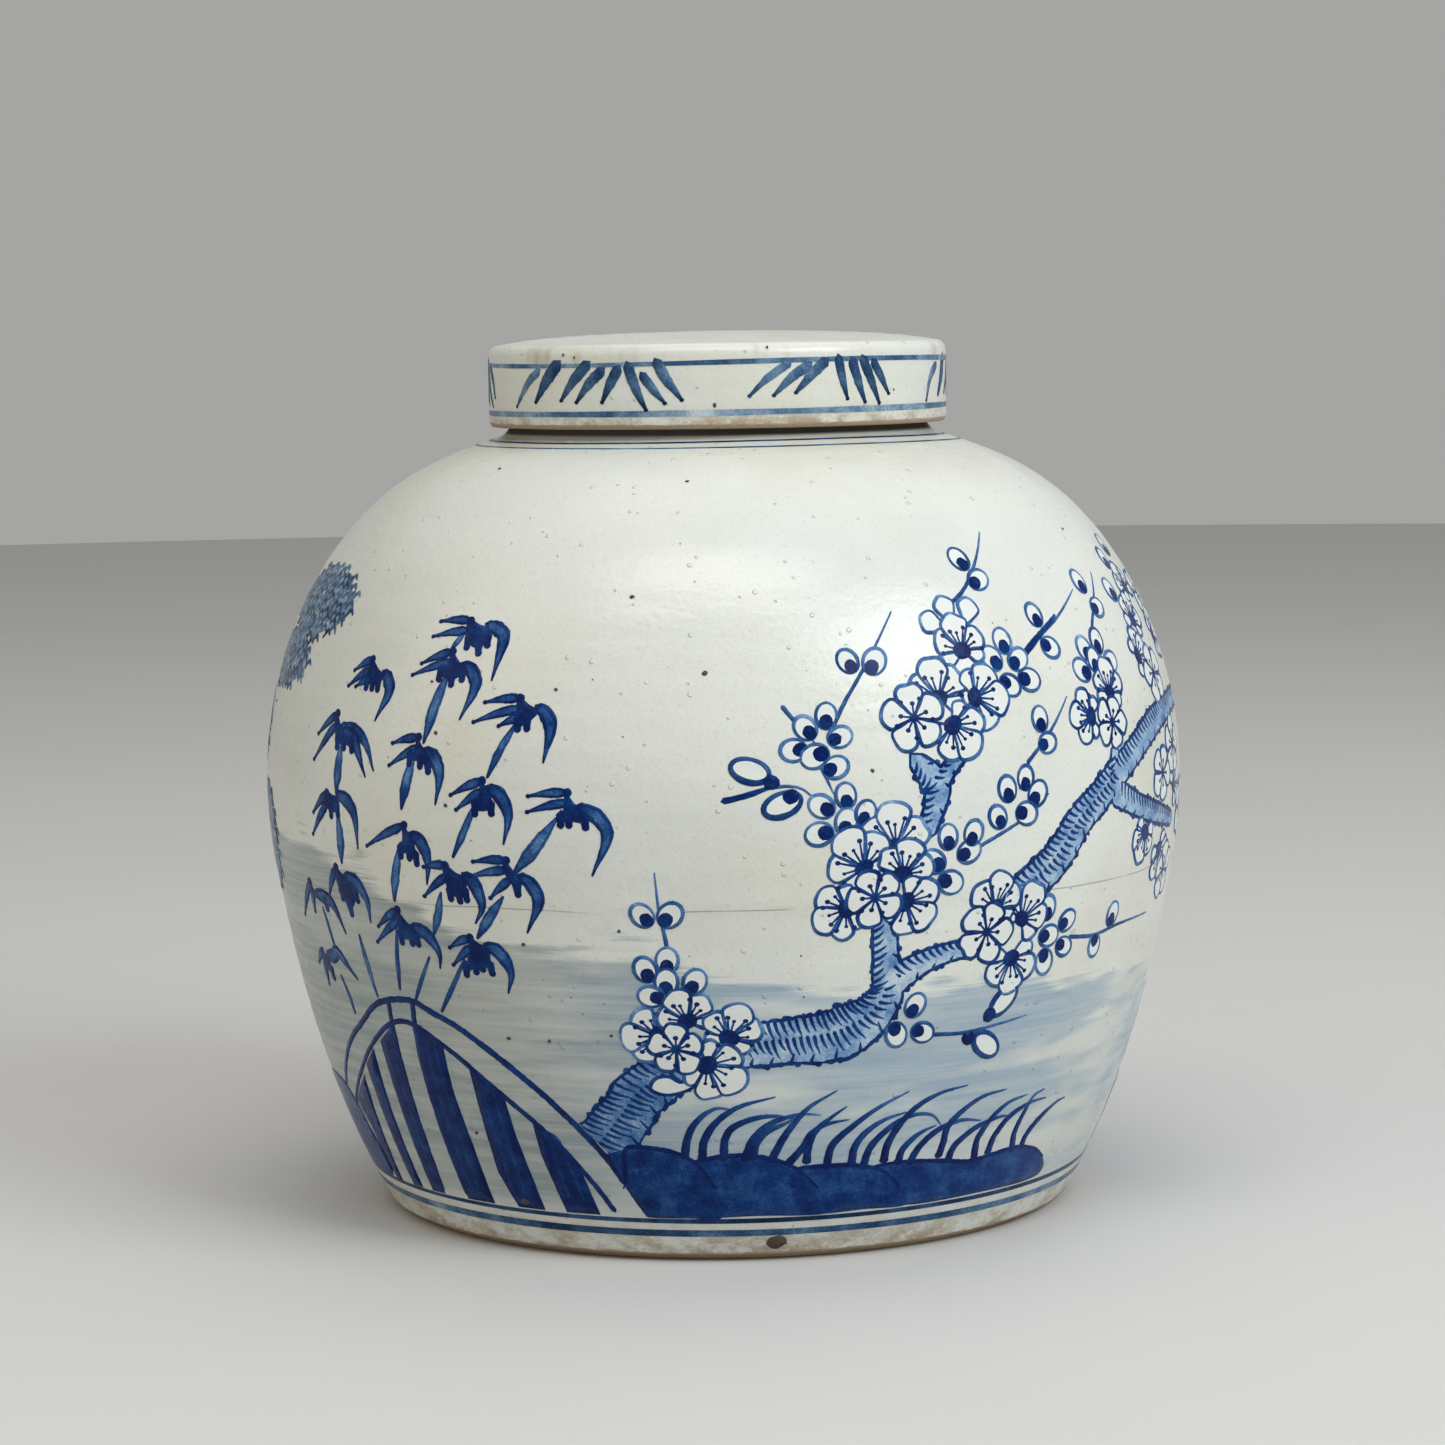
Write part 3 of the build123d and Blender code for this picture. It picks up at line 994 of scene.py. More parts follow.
def add_camera():
    """The camera that sees the jar as the photograph does."""
    data = bpy.data.cameras.new("camera")
    data.sensor_width = SENSOR_WIDTH
    data.lens = CAMERA_LENS
    data.clip_start, data.clip_end = 0.05, 50.0
    camera = bpy.data.objects.new("camera", data)
    camera.location = (0.0, -CAMERA_DISTANCE_M, CAMERA_HEIGHT_M)
    aim = Euler((math.radians(90 - CAMERA_PITCH), 0, 0)).to_matrix()
    camera.rotation_euler = (aim @ Matrix.Rotation(math.radians(-CAMERA_ROLL), 3, "Z")).to_euler()
    bpy.context.scene.collection.objects.link(camera)
    bpy.context.scene.camera = camera


# --- Motifs: bamboo ---------------------------------------------------------------------
def towards(degrees, length):
    """A millimetre offset of a given length, 0 degrees to the right and 90 up."""
    return (length * math.cos(math.radians(degrees)), length * math.sin(math.radians(degrees)))


def leaf(canvas, points, widths, ink, paler=0.20):
    """A brushed leaf: a darker edge where the colour pooled, and a paler middle."""
    path = smooth_path(canvas.plane(points), 1.0)
    canvas.ribbon(path, widths, ink, rough=0.07)
    inner = path[1:-2]
    if len(inner) > 3 and max(widths) > 2.0:
        tones = [max(0.2, tone - paler) for tone in ink]
        canvas.ribbon(inner, [w * 0.5 for w in widths], tones, rough=0.20, mottle=0.13, opaque=True)


def sprig(canvas, node, left, stubs, crescents, stems):
    """One spray of bamboo: its stems, short leaves to the left, a dark heart and long curved leaves."""
    for stem, thick in stems:
        leaf(canvas, stem, [0.8, thick, thick * 1.15, 0.9], [0.78, 0.68, 0.70, 0.90], 0.14)
    for index, tip in enumerate(left):
        root = (node[0] + 0.25 * index, node[1] - 2.6 * index)
        middle = (root[0] * 0.5 + tip[0] * 0.5, root[1] * 0.5 + tip[1] * 0.5 + 0.35)
        leaf(canvas, [root, middle, tip], [1.6, 3.0, 2.8, 2.1, 1.3, 0.8], [0.95, 0.90, 0.86, 0.94])
        canvas.spot(tip, 1.5, 1.3, 0.98)
    for start, belly, tip in crescents:
        shoulder = (start[0] * 0.40 + belly[0] * 0.60, start[1] * 0.72 + belly[1] * 0.28)
        leaf(canvas, [start, shoulder, belly, tip], [3.0, 4.6, 4.2, 2.8, 1.4, 0.6], [0.95, 0.88, 0.84, 0.94])
    sprig_heart(canvas, node, crescents[0][0], stubs)


def sprig_heart(canvas, node, start, stubs):
    """The dark middle of a spray, from its node to the first long leaf, with short stubs hanging down."""
    crown = (node[0] * 0.45 + start[0] * 0.55, node[1] * 0.4 + start[1] * 0.6 - 0.4)
    heart = [(node[0] - 0.3, node[1] + 0.5), crown, (start[0] + 0.2, start[1] - 0.8)]
    for azimuth, height in sorted(stubs, reverse=True):
        above, tip = (azimuth * 0.92 + node[0] * 0.08, height + 1.7), (azimuth, height + 0.5)
        heart.append(above)
        canvas.stroke([(above[0], above[1] + 1.6), tip], [3.0, 2.5, 2.0], [0.90, 0.94], rough=0.05)
        canvas.spot(tip, 2.3, 2.2, 0.95)
    heart.append((node[0] - 0.35, node[1] - 3.4))
    canvas.blob(heart, 0.90, mottle=0.08)
    canvas.spot(node, 2.8, 2.6, 0.95)


SPRIGS = [
    ((-33.6, 185), [(-38.4, 184.5), (-39, 180.3)], [(-33.2, 177.3), (-31.3, 175.8), (-30.2, 178)],
     [((-30.7, 184), (-28, 180), (-28.7, 169))], [([(-34, 182), (-35.5, 177)], 1.8)]),
    ((-35.2, 176.5), [(-39.8, 172.8), (-40.9, 169.5)], [(-36.5, 168.3), (-34.5, 167), (-33, 168.5)],
     [((-33, 173), (-30.9, 167), (-32.5, 158))], [([(-35, 172), (-36.4, 162), (-37.5, 151)], 3.4)]),
    ((-24.5, 164.5), [(-29.2, 163), (-30.5, 157.5), (-27, 156.7)], [(-24.5, 155.5), (-23.3, 155.8)],
     [((-22, 162), (-20.3, 156), (-21, 147))], [([(-24.6, 158), (-26.6, 150), (-28.1, 142.5)], 2.2)]),
    ((-38.4, 152.5), [(-42.5, 150.3), (-42.8, 144)], [(-39.5, 144.5), (-37.8, 144), (-36.5, 142.7)],
     [((-37, 149), (-34.8, 142), (-35.3, 134))], [([(-38.8, 148), (-39.9, 139), (-40.6, 132)], 3.4)]),
    ((-28.8, 141.5), [(-33.1, 137), (-32.3, 133)], [(-29.7, 131.7), (-27.5, 132)],
     [((-27.8, 139.5), (-25.3, 132), (-26, 124))], [([(-29.4, 136), (-31.3, 127), (-33, 119.5)], 2.2)]),
    ((-18, 139), [(-22.8, 137.7), (-22.9, 133.3)], [(-18.8, 129.5), (-17.8, 129.5), (-15.8, 129)],
     [((-16.5, 135), (-13.3, 127), (-15.2, 116))], [([(-19.2, 132), (-22.2, 123), (-25, 115.5)], 3.6)]),
    ((-40.2, 127.5), [(-46.9, 120.3)], [(-41, 118), (-39.6, 117.7), (-38.5, 116.3)],
     [((-39, 125), (-36.8, 118), (-37.2, 111))], [([(-41, 122), (-42.2, 113), (-43, 105)], 3.0)]),
    ((-34.2, 117), [(-37.5, 116), (-37.8, 107.5)], [(-33.8, 107), (-32.5, 106.5), (-31.5, 107)],
     [((-31.5, 114.5), (-29.5, 106), (-30.7, 100.8))], [([(-35.2, 109), (-36.2, 102), (-37.2, 96.5)], 2.6)]),
    ((-25.8, 119.5), [(-30.2, 118.6), (-30.9, 114.2), (-28.2, 108.5)], [(-24.5, 109.5)],
     [((-24, 115), (-22, 108), (-23.8, 99))], [([(-26.5, 109), (-28.6, 103), (-30.7, 96.5)], 3.0)]),
    ((-42.8, 102.5), [(-46.8, 96.7), (-47.5, 92)], [(-42.8, 92.5), (-41, 92.5), (-40, 92.5)],
     [((-40.5, 98), (-36.8, 91), (-37, 86.5))], [([(-43.4, 97), (-44.2, 88), (-44.8, 78.5)], 1.6)]),
    ((-31.8, 96.5), [(-35, 93), (-34.8, 88)], [(-33, 85), (-31.5, 86), (-30.5, 87), (-29.2, 86)],
     [((-29.5, 94.5), (-26.6, 87), (-27.3, 81))], [([(-33, 90), (-35.6, 81), (-38, 73.5)], 1.5),
                                                 ([(-38.5, 89.5), (-40.6, 82), (-42.2, 76)], 1.3)]),
    ((-49, 173), [(-52.2, 169.5), (-52.8, 165), (-51.2, 165)], [(-49, 164.5), (-47.8, 164.5), (-46.7, 164.3)],
     [((-46, 169.5), (-44.5, 164), (-46.2, 156))], []),
    ((-54, 157), [(-58, 150.5), (-58.5, 143)], [(-53.2, 147), (-51.7, 147), (-50, 146.5)],
     [((-52.5, 153.5), (-47.2, 149), (-45.5, 142)), ((-52, 152.5), (-48.5, 146), (-47, 140))],
     [([(-52.3, 149), (-52.6, 141), (-52.8, 134)], 3.6)]),
    ((-55, 134), [(-58.5, 127.5), (-59, 121)], [(-54, 127), (-52.5, 127.5)],
     [((-52.5, 134), (-49, 128), (-48.7, 119))], [([(-52.5, 129), (-52.3, 121), (-52.5, 114)], 3.4)]),
    ((-54, 112.5), [(-56.8, 103.5)], [(-53.5, 102.8), (-52, 98.5), (-50.2, 103)],
     [((-51.8, 110.5), (-48.3, 104), (-48.2, 97.5))], [([(-49.8, 75), (-50.5, 83), (-51.2, 93)], 1.8)]),
    ((-62, 106), [(-66.2, 95), (-62, 97)], [(-58, 98.5)],
     [((-60.5, 103), (-56, 100), (-54.3, 92.5))], [([(-59.3, 99), (-58.6, 93), (-58, 88)], 1.4)]),
    ((-62.5, 85), [(-64.5, 81), (-62.7, 75)], [(-60.4, 77)],
     [((-61, 84), (-57.5, 86), (-53.7, 79))], [([(-58, 79), (-57, 73), (-56.5, 68)], 1.4)]),
]


def shifted(points, turn, rise=0.0):
    """Places moved round the jar and up."""
    return [(azimuth + turn, height + rise) for azimuth, height in points]


def bamboo(name, chosen, turn=0.0, rise=0.0):
    """A grove made of the sprigs, optionally turned round the jar."""
    canvas = wall_canvas(name, BAMBOO_LIFT)
    for node, left, stubs, crescents, stems in chosen:
        sprig(canvas, shifted([node], turn, rise)[0], shifted(left, turn, rise), shifted(stubs, turn, rise),
              [tuple(shifted(c, turn, rise)) for c in crescents],
              [(shifted(path, turn, rise), thick) for path, thick in stems])
    canvas.finish(COBALT)


# --- Motifs: the arched fence -----------------------------------------------------------
OUTER_ARC = [(-70, 40), (-68, 44), (-64, 52), (-60, 59), (-55, 66), (-51, 72), (-47, 74.8),
             (-43, 75.5), (-40, 73), (-36, 69.5), (-32, 64), (-28, 57.5), (-24, 50),
             (-20, 41), (-17, 33), (-13.5, 21), (-12, 15.4)]
INNER_ARC = [(-66.5, 37), (-66, 39), (-60, 49), (-56, 56), (-52, 62.5), (-49, 66.5), (-46.2, 68.6),
             (-43.2, 68), (-40, 64.5), (-36, 59), (-32, 52), (-28, 45), (-24, 37),
             (-21, 29), (-19, 23), (-17, 16)]
POSTS = [
    [(-47.8, 74), (-48.0, 60), (-48, 30), (-48.3, 16)],
    [(-43, 75), (-43.7, 60), (-43.6, 40), (-43, 16)],
]
PANELS = [
    [(-27, 44), (-26.6, 32), (-25.5, 22), (-24.7, 16), (-19.3, 16), (-21, 29), (-24, 38)],
    [(-35.3, 57), (-35, 40), (-34.8, 25), (-33, 16), (-28.3, 16), (-29, 25), (-30, 38), (-30.5, 49)],
    [(-43.3, 68), (-43.6, 45), (-43, 16), (-37.5, 16), (-38, 32), (-39, 50), (-39, 62.5)],
    [(-51.7, 61), (-51.5, 40), (-51.5, 16), (-48.3, 16), (-48, 40), (-48, 67)],
    [(-57.5, 52), (-57.3, 35), (-57, 16), (-54.2, 16), (-54.3, 40), (-54, 58)],
    [(-66, 38), (-64, 30), (-63, 16), (-60.8, 16), (-60, 35), (-59.3, 48)],
]


def fence():
    """Light bars and dark gaps under a double arch, with a post at its crown."""
    canvas = wall_canvas("fence", FENCE_LIFT)
    for panel in PANELS:
        canvas.blob([(a, h if h > 16.5 else 14.4) for a, h in panel], 0.95, mottle=0.07, sharp=True)
        top, foot = panel[0], panel[2]
        for share in (0.3, 0.65):
            inset = top[0] + (panel[-1][0] - top[0]) * share
            low = foot[0] + (panel[-3][0] - foot[0]) * share
            streak = [(inset, top[1] - 4), (inset * 0.5 + low * 0.5, 36), (low, 19)]
            canvas.stroke(streak, [0.6, 1.6, 0.6], [0.78, 0.84, 0.76], rough=0.15, mottle=0.08)
    for path, width in ((OUTER_ARC, 1.9), (INNER_ARC, 1.6)):
        canvas.stroke(path, [width * 0.8, width, width * 1.1, width], [0.88, 0.94, 0.90, 0.94], rough=0.12)
    for path in POSTS:
        canvas.stroke(path, [2.0, 1.5, 1.2], [0.95, 0.92], rough=0.12)
    canvas.finish(COBALT)


# --- Motifs: ground and grass -----------------------------------------------------------
HILLS = [
    [(20, 28), (25, 28.8), (32, 27.2), (36, 26), (40, 26.6), (45, 27.4), (50, 25.5), (53.5, 21.5), (55, 17),
     (52, 14.9), (40, 14.8), (26, 14.8), (20, 20)],
    [(9, 28.5), (13, 29.6), (18, 29), (22, 26.4), (25, 21), (27, 14.8), (20, 14.8), (11, 14.8), (9, 21)],
    [(-6, 30), (-3, 33), (1, 34), (5, 33), (9, 29.6), (12.5, 23), (15, 14.8), (4, 14.8), (-6.5, 14.8),
     (-7, 22)],
    [(-17, 32.8), (-16.6, 33.9), (-14, 35.6), (-10.5, 36.2), (-7, 34.8), (-4.2, 31), (-2, 24), (-1, 14.6),
     (-6, 14.2), (-11.9, 14.3), (-12.3, 15.6), (-13.4, 20.2), (-14.6, 24.8), (-15.9, 29.4)],
]
GRASS = [
    [(-6, 34), (-5.2, 41), (-3.5, 46), (-1.5, 48.5), (0.5, 48)],
    [(-3.6, 33.5), (-3.2, 39), (-1.5, 44.5), (1.5, 49), (6, 51.5)],
    [(-0.7, 33.5), (-0.5, 39), (0.5, 42.5), (3, 45), (6, 45.8), (9, 44.5)],
    [(2.2, 33), (3, 38), (4.5, 42), (6.5, 44.5), (9.5, 46), (12, 45.5)],
    [(3.3, 33.5), (3.6, 37.5), (5, 41), (7, 43), (9.5, 45.5)],
    [(5.8, 32.5), (7, 38), (8.5, 43), (10.5, 48), (14, 52.5)],
    [(8.3, 31.5), (10, 36), (11, 40), (13, 42.5), (16, 43.5)],
    [(10.6, 31.5), (10.7, 36), (11.5, 40.5), (13.5, 44.5), (15.5, 47.5)],
    [(13.5, 29.5), (14, 36), (17, 42), (20, 46.5), (24, 50.5)],
    [(17, 30), (17.2, 35), (18.5, 39), (21, 42.5), (24, 44.2)],
    [(18.8, 28.5), (19.5, 34.5), (22, 40), (25, 43), (28, 42.5), (29.8, 39)],
    [(21.8, 30), (22, 35), (23.2, 40), (25.5, 45.5), (29, 49), (33, 50.2)],
    [(24, 29), (24.5, 33), (26.5, 37), (29, 39)],
    [(26, 28.5), (27, 33), (29.5, 37.5), (33, 39.5), (36.5, 38.5)],
    [(30.5, 29.5), (30.8, 33), (31, 38), (33, 42.5), (36, 46), (40, 47)],
    [(32.3, 27.5), (33, 32), (36, 36.5), (40, 38.5), (42.5, 38)],
    [(37, 27.5), (36.8, 33), (38.5, 38.5), (41, 42.5), (44.5, 44)],
    [(39.5, 28), (40, 33), (42, 38), (45.5, 41), (49, 41.5)],
    [(44.5, 27), (44, 33), (45, 39), (46, 43), (48, 44.5)],
    [(46.5, 27), (47, 31), (49, 35.5), (52, 39), (54, 39.8)],
]


def hill(canvas, outline):
    """A dark mound with a firmer upper edge and a few paler brush tracks that follow it."""
    canvas.blob(outline, 0.81, mottle=0.10)
    top = sorted(p for p in outline if p[1] > 20.5)
    left, right = top[0][0] + 1.5, top[-1][0] - 1.5
    for drop in (3.4, 7.0, 10.4):
        start, end = left + RANDOM.uniform(0, 3), right - RANDOM.uniform(0, 4)
        if end - start > 4:
            spots = np.linspace(start, end, 5)
            ridge = np.interp(spots, [p[0] for p in top], [p[1] for p in top])
            track = [(a, max(16.6, h - drop + wander(0.6))) for a, h in zip(spots, ridge)]
            canvas.stroke(track, [0.5, 1.7, 1.9, 0.5], [0.70, 0.76, 0.68], rough=0.22, mottle=0.10)
    canvas.stroke(top, [0.9, 1.5, 1.4, 0.9], [1.0, 0.97, 1.0], rough=0.15)


def grass_blade(canvas, points):
    """A curved blade of grass on a dark root."""
    canvas.stroke(points, [2.5, 2.2, 1.8, 1.1, 0.4], [0.98, 0.92, 0.82, 0.70, 0.58], rough=0.07, mottle=0.06)
    canvas.spot(points[0], 2.8, 2.2, 0.96)


def meadow(name, turn, hills, blades):
    """Mounds with grass on them, turned round the jar."""
    canvas = wall_canvas(name, NEAR_LIFT)
    for outline in hills:
        hill(canvas, shifted(outline, turn))
    for points in blades:
        grass_blade(canvas, shifted(points, turn))
    canvas.finish(COBALT)


# --- Motifs: the plum tree --------------------------------------------------------------
# A petal of length 1 that starts at the blossom's centre and points to the right.
PETAL = [(0.12, -0.07), (0.42, -0.25), (0.74, -0.40), (0.97, -0.24), (1.04, 0.02), (0.96, 0.26), (0.72, 0.41),
         (0.40, 0.25), (0.12, 0.07)]


def turned_by(points, degrees, size, across=1.0):
    """Unit points scaled to a size and turned, as millimetre offsets."""
    c, s = math.cos(math.radians(degrees)), math.sin(math.radians(degrees))
    return [(size * (x * c - y * across * s), size * (x * s + y * across * c)) for x, y in points]


def petal(canvas, centre, degrees, size, tone, across=1.0):
    """One pale petal with an uneven outline, which points away from the centre."""
    wobbly = [(x * (1 + wander(0.05)), y * (1 + wander(0.06))) for x, y in PETAL]
    canvas.loop(centre, turned_by(wobbly, degrees, size, across), 1.0,
                [tone, tone + 0.16, tone - 0.12, tone + 0.10, tone - 0.06])


def stamen(canvas, centre, degrees, inner, outer, tone, dot):
    """A thin thread that ends in a dot."""
    start, end = towards(degrees, inner), towards(degrees, outer)
    canvas.stroke_near(centre, [start, end], [0.75, 0.55], [tone], step=0.9)
    canvas.spot(centre, dot * 1.15, dot, tone + 0.08, offset=end, count=7)


def open_blossom(canvas, centre, size, tone):
    """A blossom seen from the front: five petals round a star of stamens."""
    first = RANDOM.uniform(0, 72)
    for index in (0, 2, 4, 1, 3):
        petal(canvas, centre, first + 72 * index, size * (1.08 + wander(0.06)), tone, 1.1)
    for index in range(10):
        long = 0.68 if index % 2 else 0.48
        stamen(canvas, centre, first + 36 * index + wander(6), 0.2, size * long, 0.86, 1.45)
    canvas.spot(centre, 2.0, 1.8, 0.94, count=8)


SIDE_PETALS = ((-108, 0.74, 1.0), (108, 0.74, 1.0), (-55, 0.98, 1.06), (55, 0.98, 1.06), (0, 1.08, 1.08))


def side_blossom(canvas, centre, facing, size, tone, heart=4.2):
    """A blossom seen from the side: petals fanned about a dark heart."""
    for turn, share, across in SIDE_PETALS:
        petal(canvas, centre, facing + turn + wander(5), size * share * (1 + wander(0.05)), tone, across)
    for index in range(9):
        angle = facing - 92 + 23 * index + wander(4)
        long = (0.74, 0.56, 0.66)[index % 3]
        stamen(canvas, centre, angle, heart * 0.4, size * long, 0.82, 1.45 if index % 3 != 1 else 1.1)
    canvas.spot(centre, heart * 1.25, heart, 0.95, math.radians(facing + 90), count=14)


def bud(canvas, centre, facing, size=1.0, tone=0.52):
    """A bud: a dark dot at the foot of one or two pale rounded petals."""
    ellipse = [(0.32 + 0.66 * math.cos(a), 0.54 * math.sin(a)) for a in np.linspace(0, math.tau, 9)[:-1]]
    canvas.loop(centre, turned_by(ellipse, facing, 5.7 * size), 1.0, [tone, tone + 0.10, tone - 0.08])
    canvas.spot(centre, 4.4 * size, 4.0 * size, 0.96, math.radians(facing))


def loop_bud(canvas, centre, facing, middle):
    """A larger bud with a boldly drawn petal beside its dot."""
    ellipse = [(5.2 * math.cos(a), 3.0 * math.sin(a)) for a in np.linspace(0, math.tau, 11)[:-1]]
    canvas.loop(middle, turned_by(ellipse, facing, 1.05), 1.5, [0.74, 0.84, 0.66, 0.80])
    canvas.spot(centre, 4.8, 4.3, 0.96, math.radians(facing))


def twig(canvas, points, thick):
    """A thin twig that grows paler towards its tip."""
    canvas.stroke(points, [thick, thick * 0.8, thick * 0.35], [0.72, 0.62, 0.47], rough=0.1)


def bark_marks(canvas, spine, widths):
    """Short curved hatches drawn inwards from the edges of a bough, in two rows where it is broad."""
    forward, left, half = canvas.course(spine, widths)
    for i in range(2, len(spine) - 2, 2):
        rows = [(0.98, 0.05)] if half[i] < 4.2 else [(0.98, 0.30), (0.12, -0.58)]
        for row, (start, end) in enumerate(rows):
            j = min(len(spine) - 1, i + row)
            reach = end + wander(0.18)
            a = spine[j] + left[j] * half[j] * start
            b = spine[j] + left[j] * half[j] * (start + reach) / 2 + forward[j] * 0.5
            c = spine[j] + left[j] * half[j] * reach + forward[j] * 1.5
            canvas.ribbon(smooth_path([a, b, c], 0.9), [1.15, 0.95, 0.45], [0.88, 0.80, 0.70], rough=0.1)
        if i % 6 == 0:
            a = spine[i] - left[i] * half[i] * 0.98
            c = spine[i] - left[i] * half[i] * (0.62 + wander(0.12)) + forward[i] * 0.9
            canvas.ribbon(smooth_path([a, (a + c) / 2, c], 0.9), [1.1, 0.8, 0.4], [0.86, 0.74], rough=0.1)


def knots(canvas, spine, widths):
    """Thorny bumps just outside both edges of a bough."""
    _, left, half = canvas.course(spine, widths)
    wide = canvas.stretch(spine[:, 1])
    angles = np.linspace(0, math.tau, 9)[:-1]
    for side in (1, -1):
        i = RANDOM.randint(2, 4)
        while i < len(spine) - 2:
            middle = spine[i] + side * left[i] * (half[i] + 0.75)
            reach = RANDOM.uniform(1.3, 2.3) / 2
            bump = np.stack([np.cos(angles) * reach * wide[i], np.sin(angles) * reach], axis=1)
            canvas.shapes.append(Shape(middle + bump, None, [RANDOM.uniform(0.72, 0.88)]))
            i += RANDOM.randint(4, 10)


def boughs(name, limbs, gap=None):
    """All the boughs of a tree, drawn together so that they join without lines between them.

    gap is a pale opening near the foot of the trunk, and with it the fence's own place is left bare.
    """
    canvas = wall_canvas(name, BOUGH_LIFT)
    spines = [(smooth_path(canvas.plane(points), 1.05), widths, tone) for points, widths, tone in limbs]
    for spine, widths, _ in spines:
        knots(canvas, spine, widths)
    for spine, widths, _ in spines:
        canvas.ribbon(spine, [w + 2.1 for w in widths], [0.80, 0.90, 0.82], rough=0.06, barbs=0.5)
    for spine, widths, tone in spines:
        canvas.ribbon(spine, [max(0.8, w - 0.1) for w in widths], [tone - 0.03, tone + 0.03, tone - 0.02],
                      rough=0.05, mottle=0.10, opaque=True)
    for spine, widths, _ in spines:
        bark_marks(canvas, spine, widths)
    if gap:
        middle, outline = gap
        canvas.loop(middle, outline, 1.0, [0.80, 0.90, 0.75])
        canvas.erase(FENCE_BAND)
    canvas.finish(COBALT)


PLUM_LIMBS = [
    ([(-18.5, 33), (-13.5, 46), (-11.5, 52), (-8, 58), (-5, 62)], [17.0, 15.4, 14.0, 13.5, 12.5], 0.42),
    ([(0, 66), (3, 67), (8, 68), (13, 69), (17, 73), (19.5, 80), (19.3, 88), (19, 95), (18.8, 101)],
     [11, 12, 12.5, 14, 15.5, 11.5, 8.0, 6.6, 6.2], 0.29),
    ([(20.5, 84), (24, 88.5), (28, 91), (31.5, 91.5)], [8, 6, 4.6, 4.2], 0.24),
    ([(23.8, 126), (24.8, 134), (25, 139), (22.6, 146)], [4, 6.0, 8, 4.0], 0.29),
    ([(25.2, 138), (26.8, 143), (29.0, 147.5)], [5.0, 3.6, 2.6], 0.29),
    ([(36.2, 104.2), (38.6, 108.2), (41.4, 112.2), (43.8, 117.5), (46.5, 124.5), (50, 130), (54, 136)],
     [9.4, 10.4, 11.0, 10.5, 9.4, 9.2, 9.0], 0.29),
    ([(53.5, 134), (54.2, 143)], [4.2, 3.2], 0.31),
    ([(54, 136), (58, 140.5), (62, 145), (67, 149), (73, 151.5), (80, 153), (90, 152)],
     [8.5, 7.5, 7.5, 6, 5, 4, 3], 0.29),
    ([(54, 131), (58, 127), (62, 124), (67, 121), (73, 118)], [7.5, 6, 5.5, 4.6, 3.2], 0.29),
]
FENCE_BAND = [(-22, 47.2), (-19.6, 41.9), (-16.3, 33.8), (-12.8, 21.4), (-12, 15.2), (-24, 15.2), (-30, 44)]
TRUNK_GAP = ((-6.3, 55.8), [(-7.8, -1.8), (-3.0, -3.4), (3.0, -1.6), (7.0, 2.0), (3.6, 1.8), (0.6, 0.6),
                            (-2.6, 2.4), (-6.4, 1.6)])
TWIGS = [
    [(-6.6, 92), (-7.0, 98), (-7.6, 106), (-8, 117)],
    [(26, 67), (31, 66.5), (36, 67.6), (41, 69)],
    [(7, 162), (9, 156), (10.6, 152)],
    [(10.5, 149), (11.6, 143), (12.5, 138)],
    [(0.3, 136.8), (5, 140), (8.5, 140), (10.8, 135.6)],
    [(12.5, 155), (14.5, 163), (17, 171), (22, 186.5)],
    [(29, 119), (34, 124), (37.6, 128), (41, 133.5)],
    [(38, 143), (42.2, 151), (46, 160)],
    [(36.6, 136), (37.2, 139), (38.4, 143.6)],
    [(31, 188), (33, 190.5), (35, 194), (38, 200), (41, 206.5)],
    [(39.7, 172), (43, 176.5), (48, 181.5), (54.5, 189)],
    [(46.8, 90.5), (52, 89.5), (58, 91), (67, 91.5)],
    [(54.5, 176), (57, 182), (60, 188), (62, 193)],
]
SIDE_BLOSSOMS = {
    "plum_low": [((-8.5, 70), 178, 9.0, 0.46), ((-4.8, 74.5), 108, 8.8, 0.60), ((0.2, 69.5), 72, 9.2, 0.58),
                 ((-2.5, 61.5), -32, 10.2, 0.60)],
    "plum_middle": [((19.8, 122.5), 90, 11.0, 0.50), ((16, 117), 122, 10.5, 0.58),
                    ((20.8, 114.5), 72, 9.4, 0.60),
                    ((14, 105.5), 200, 9.0, 0.64), ((21.3, 106.5), -34, 9.8, 0.66)],
    "plum_high": [((30.7, 175), 92, 9.4, 0.56), ((26.3, 162.5), 98, 10.4, 0.56),
                  ((31.3, 162), -4, 10.6, 0.60),
                  ((27.8, 155), -48, 9.6, 0.60)],
    "plum_right": [((36.8, 87.0), -82, 10.0, 0.56), ((37.8, 98.2), 60, 10.0, 0.62),
                   ((33.5, 102.5), 82, 9.8, 0.66)],
    "plum_far": [((55, 159.5), 80, 8.8, 0.62), ((50, 153.5), 172, 8.4, 0.70), ((66, 168), 20, 8.5, 0.60),
                 ((69, 178), 60, 8.2, 0.58), ((73, 187), 100, 8.0, 0.58), ((78, 172), 10, 8.5, 0.60),
                 ((62, 117), -110, 8.4, 0.60), ((68, 110), -60, 8.8, 0.60), ((74, 128), 30, 8.6, 0.62)],
}
OPEN_BLOSSOMS = {
    "plum_low": [((-6.3, 66.2), 7.2, 0.72)],
    "plum_middle": [((17.4, 108.4), 7.6, 0.74)],
    "plum_high": [((22.8, 157.6), 8.4, 0.64)],
    "plum_right": [((32.6, 95.6), 8.0, 0.76)],
    "plum_far": [((54.4, 151.0), 7.2, 0.72), ((70.5, 162), 8.2, 0.62), ((74, 140), 8.0, 0.62),
                 ((68, 133), 7.8, 0.62), ((72, 103), 7.8, 0.6), ((80, 184), 7.6, 0.58),
                 ((80, 120), 8.0, 0.6)],
}
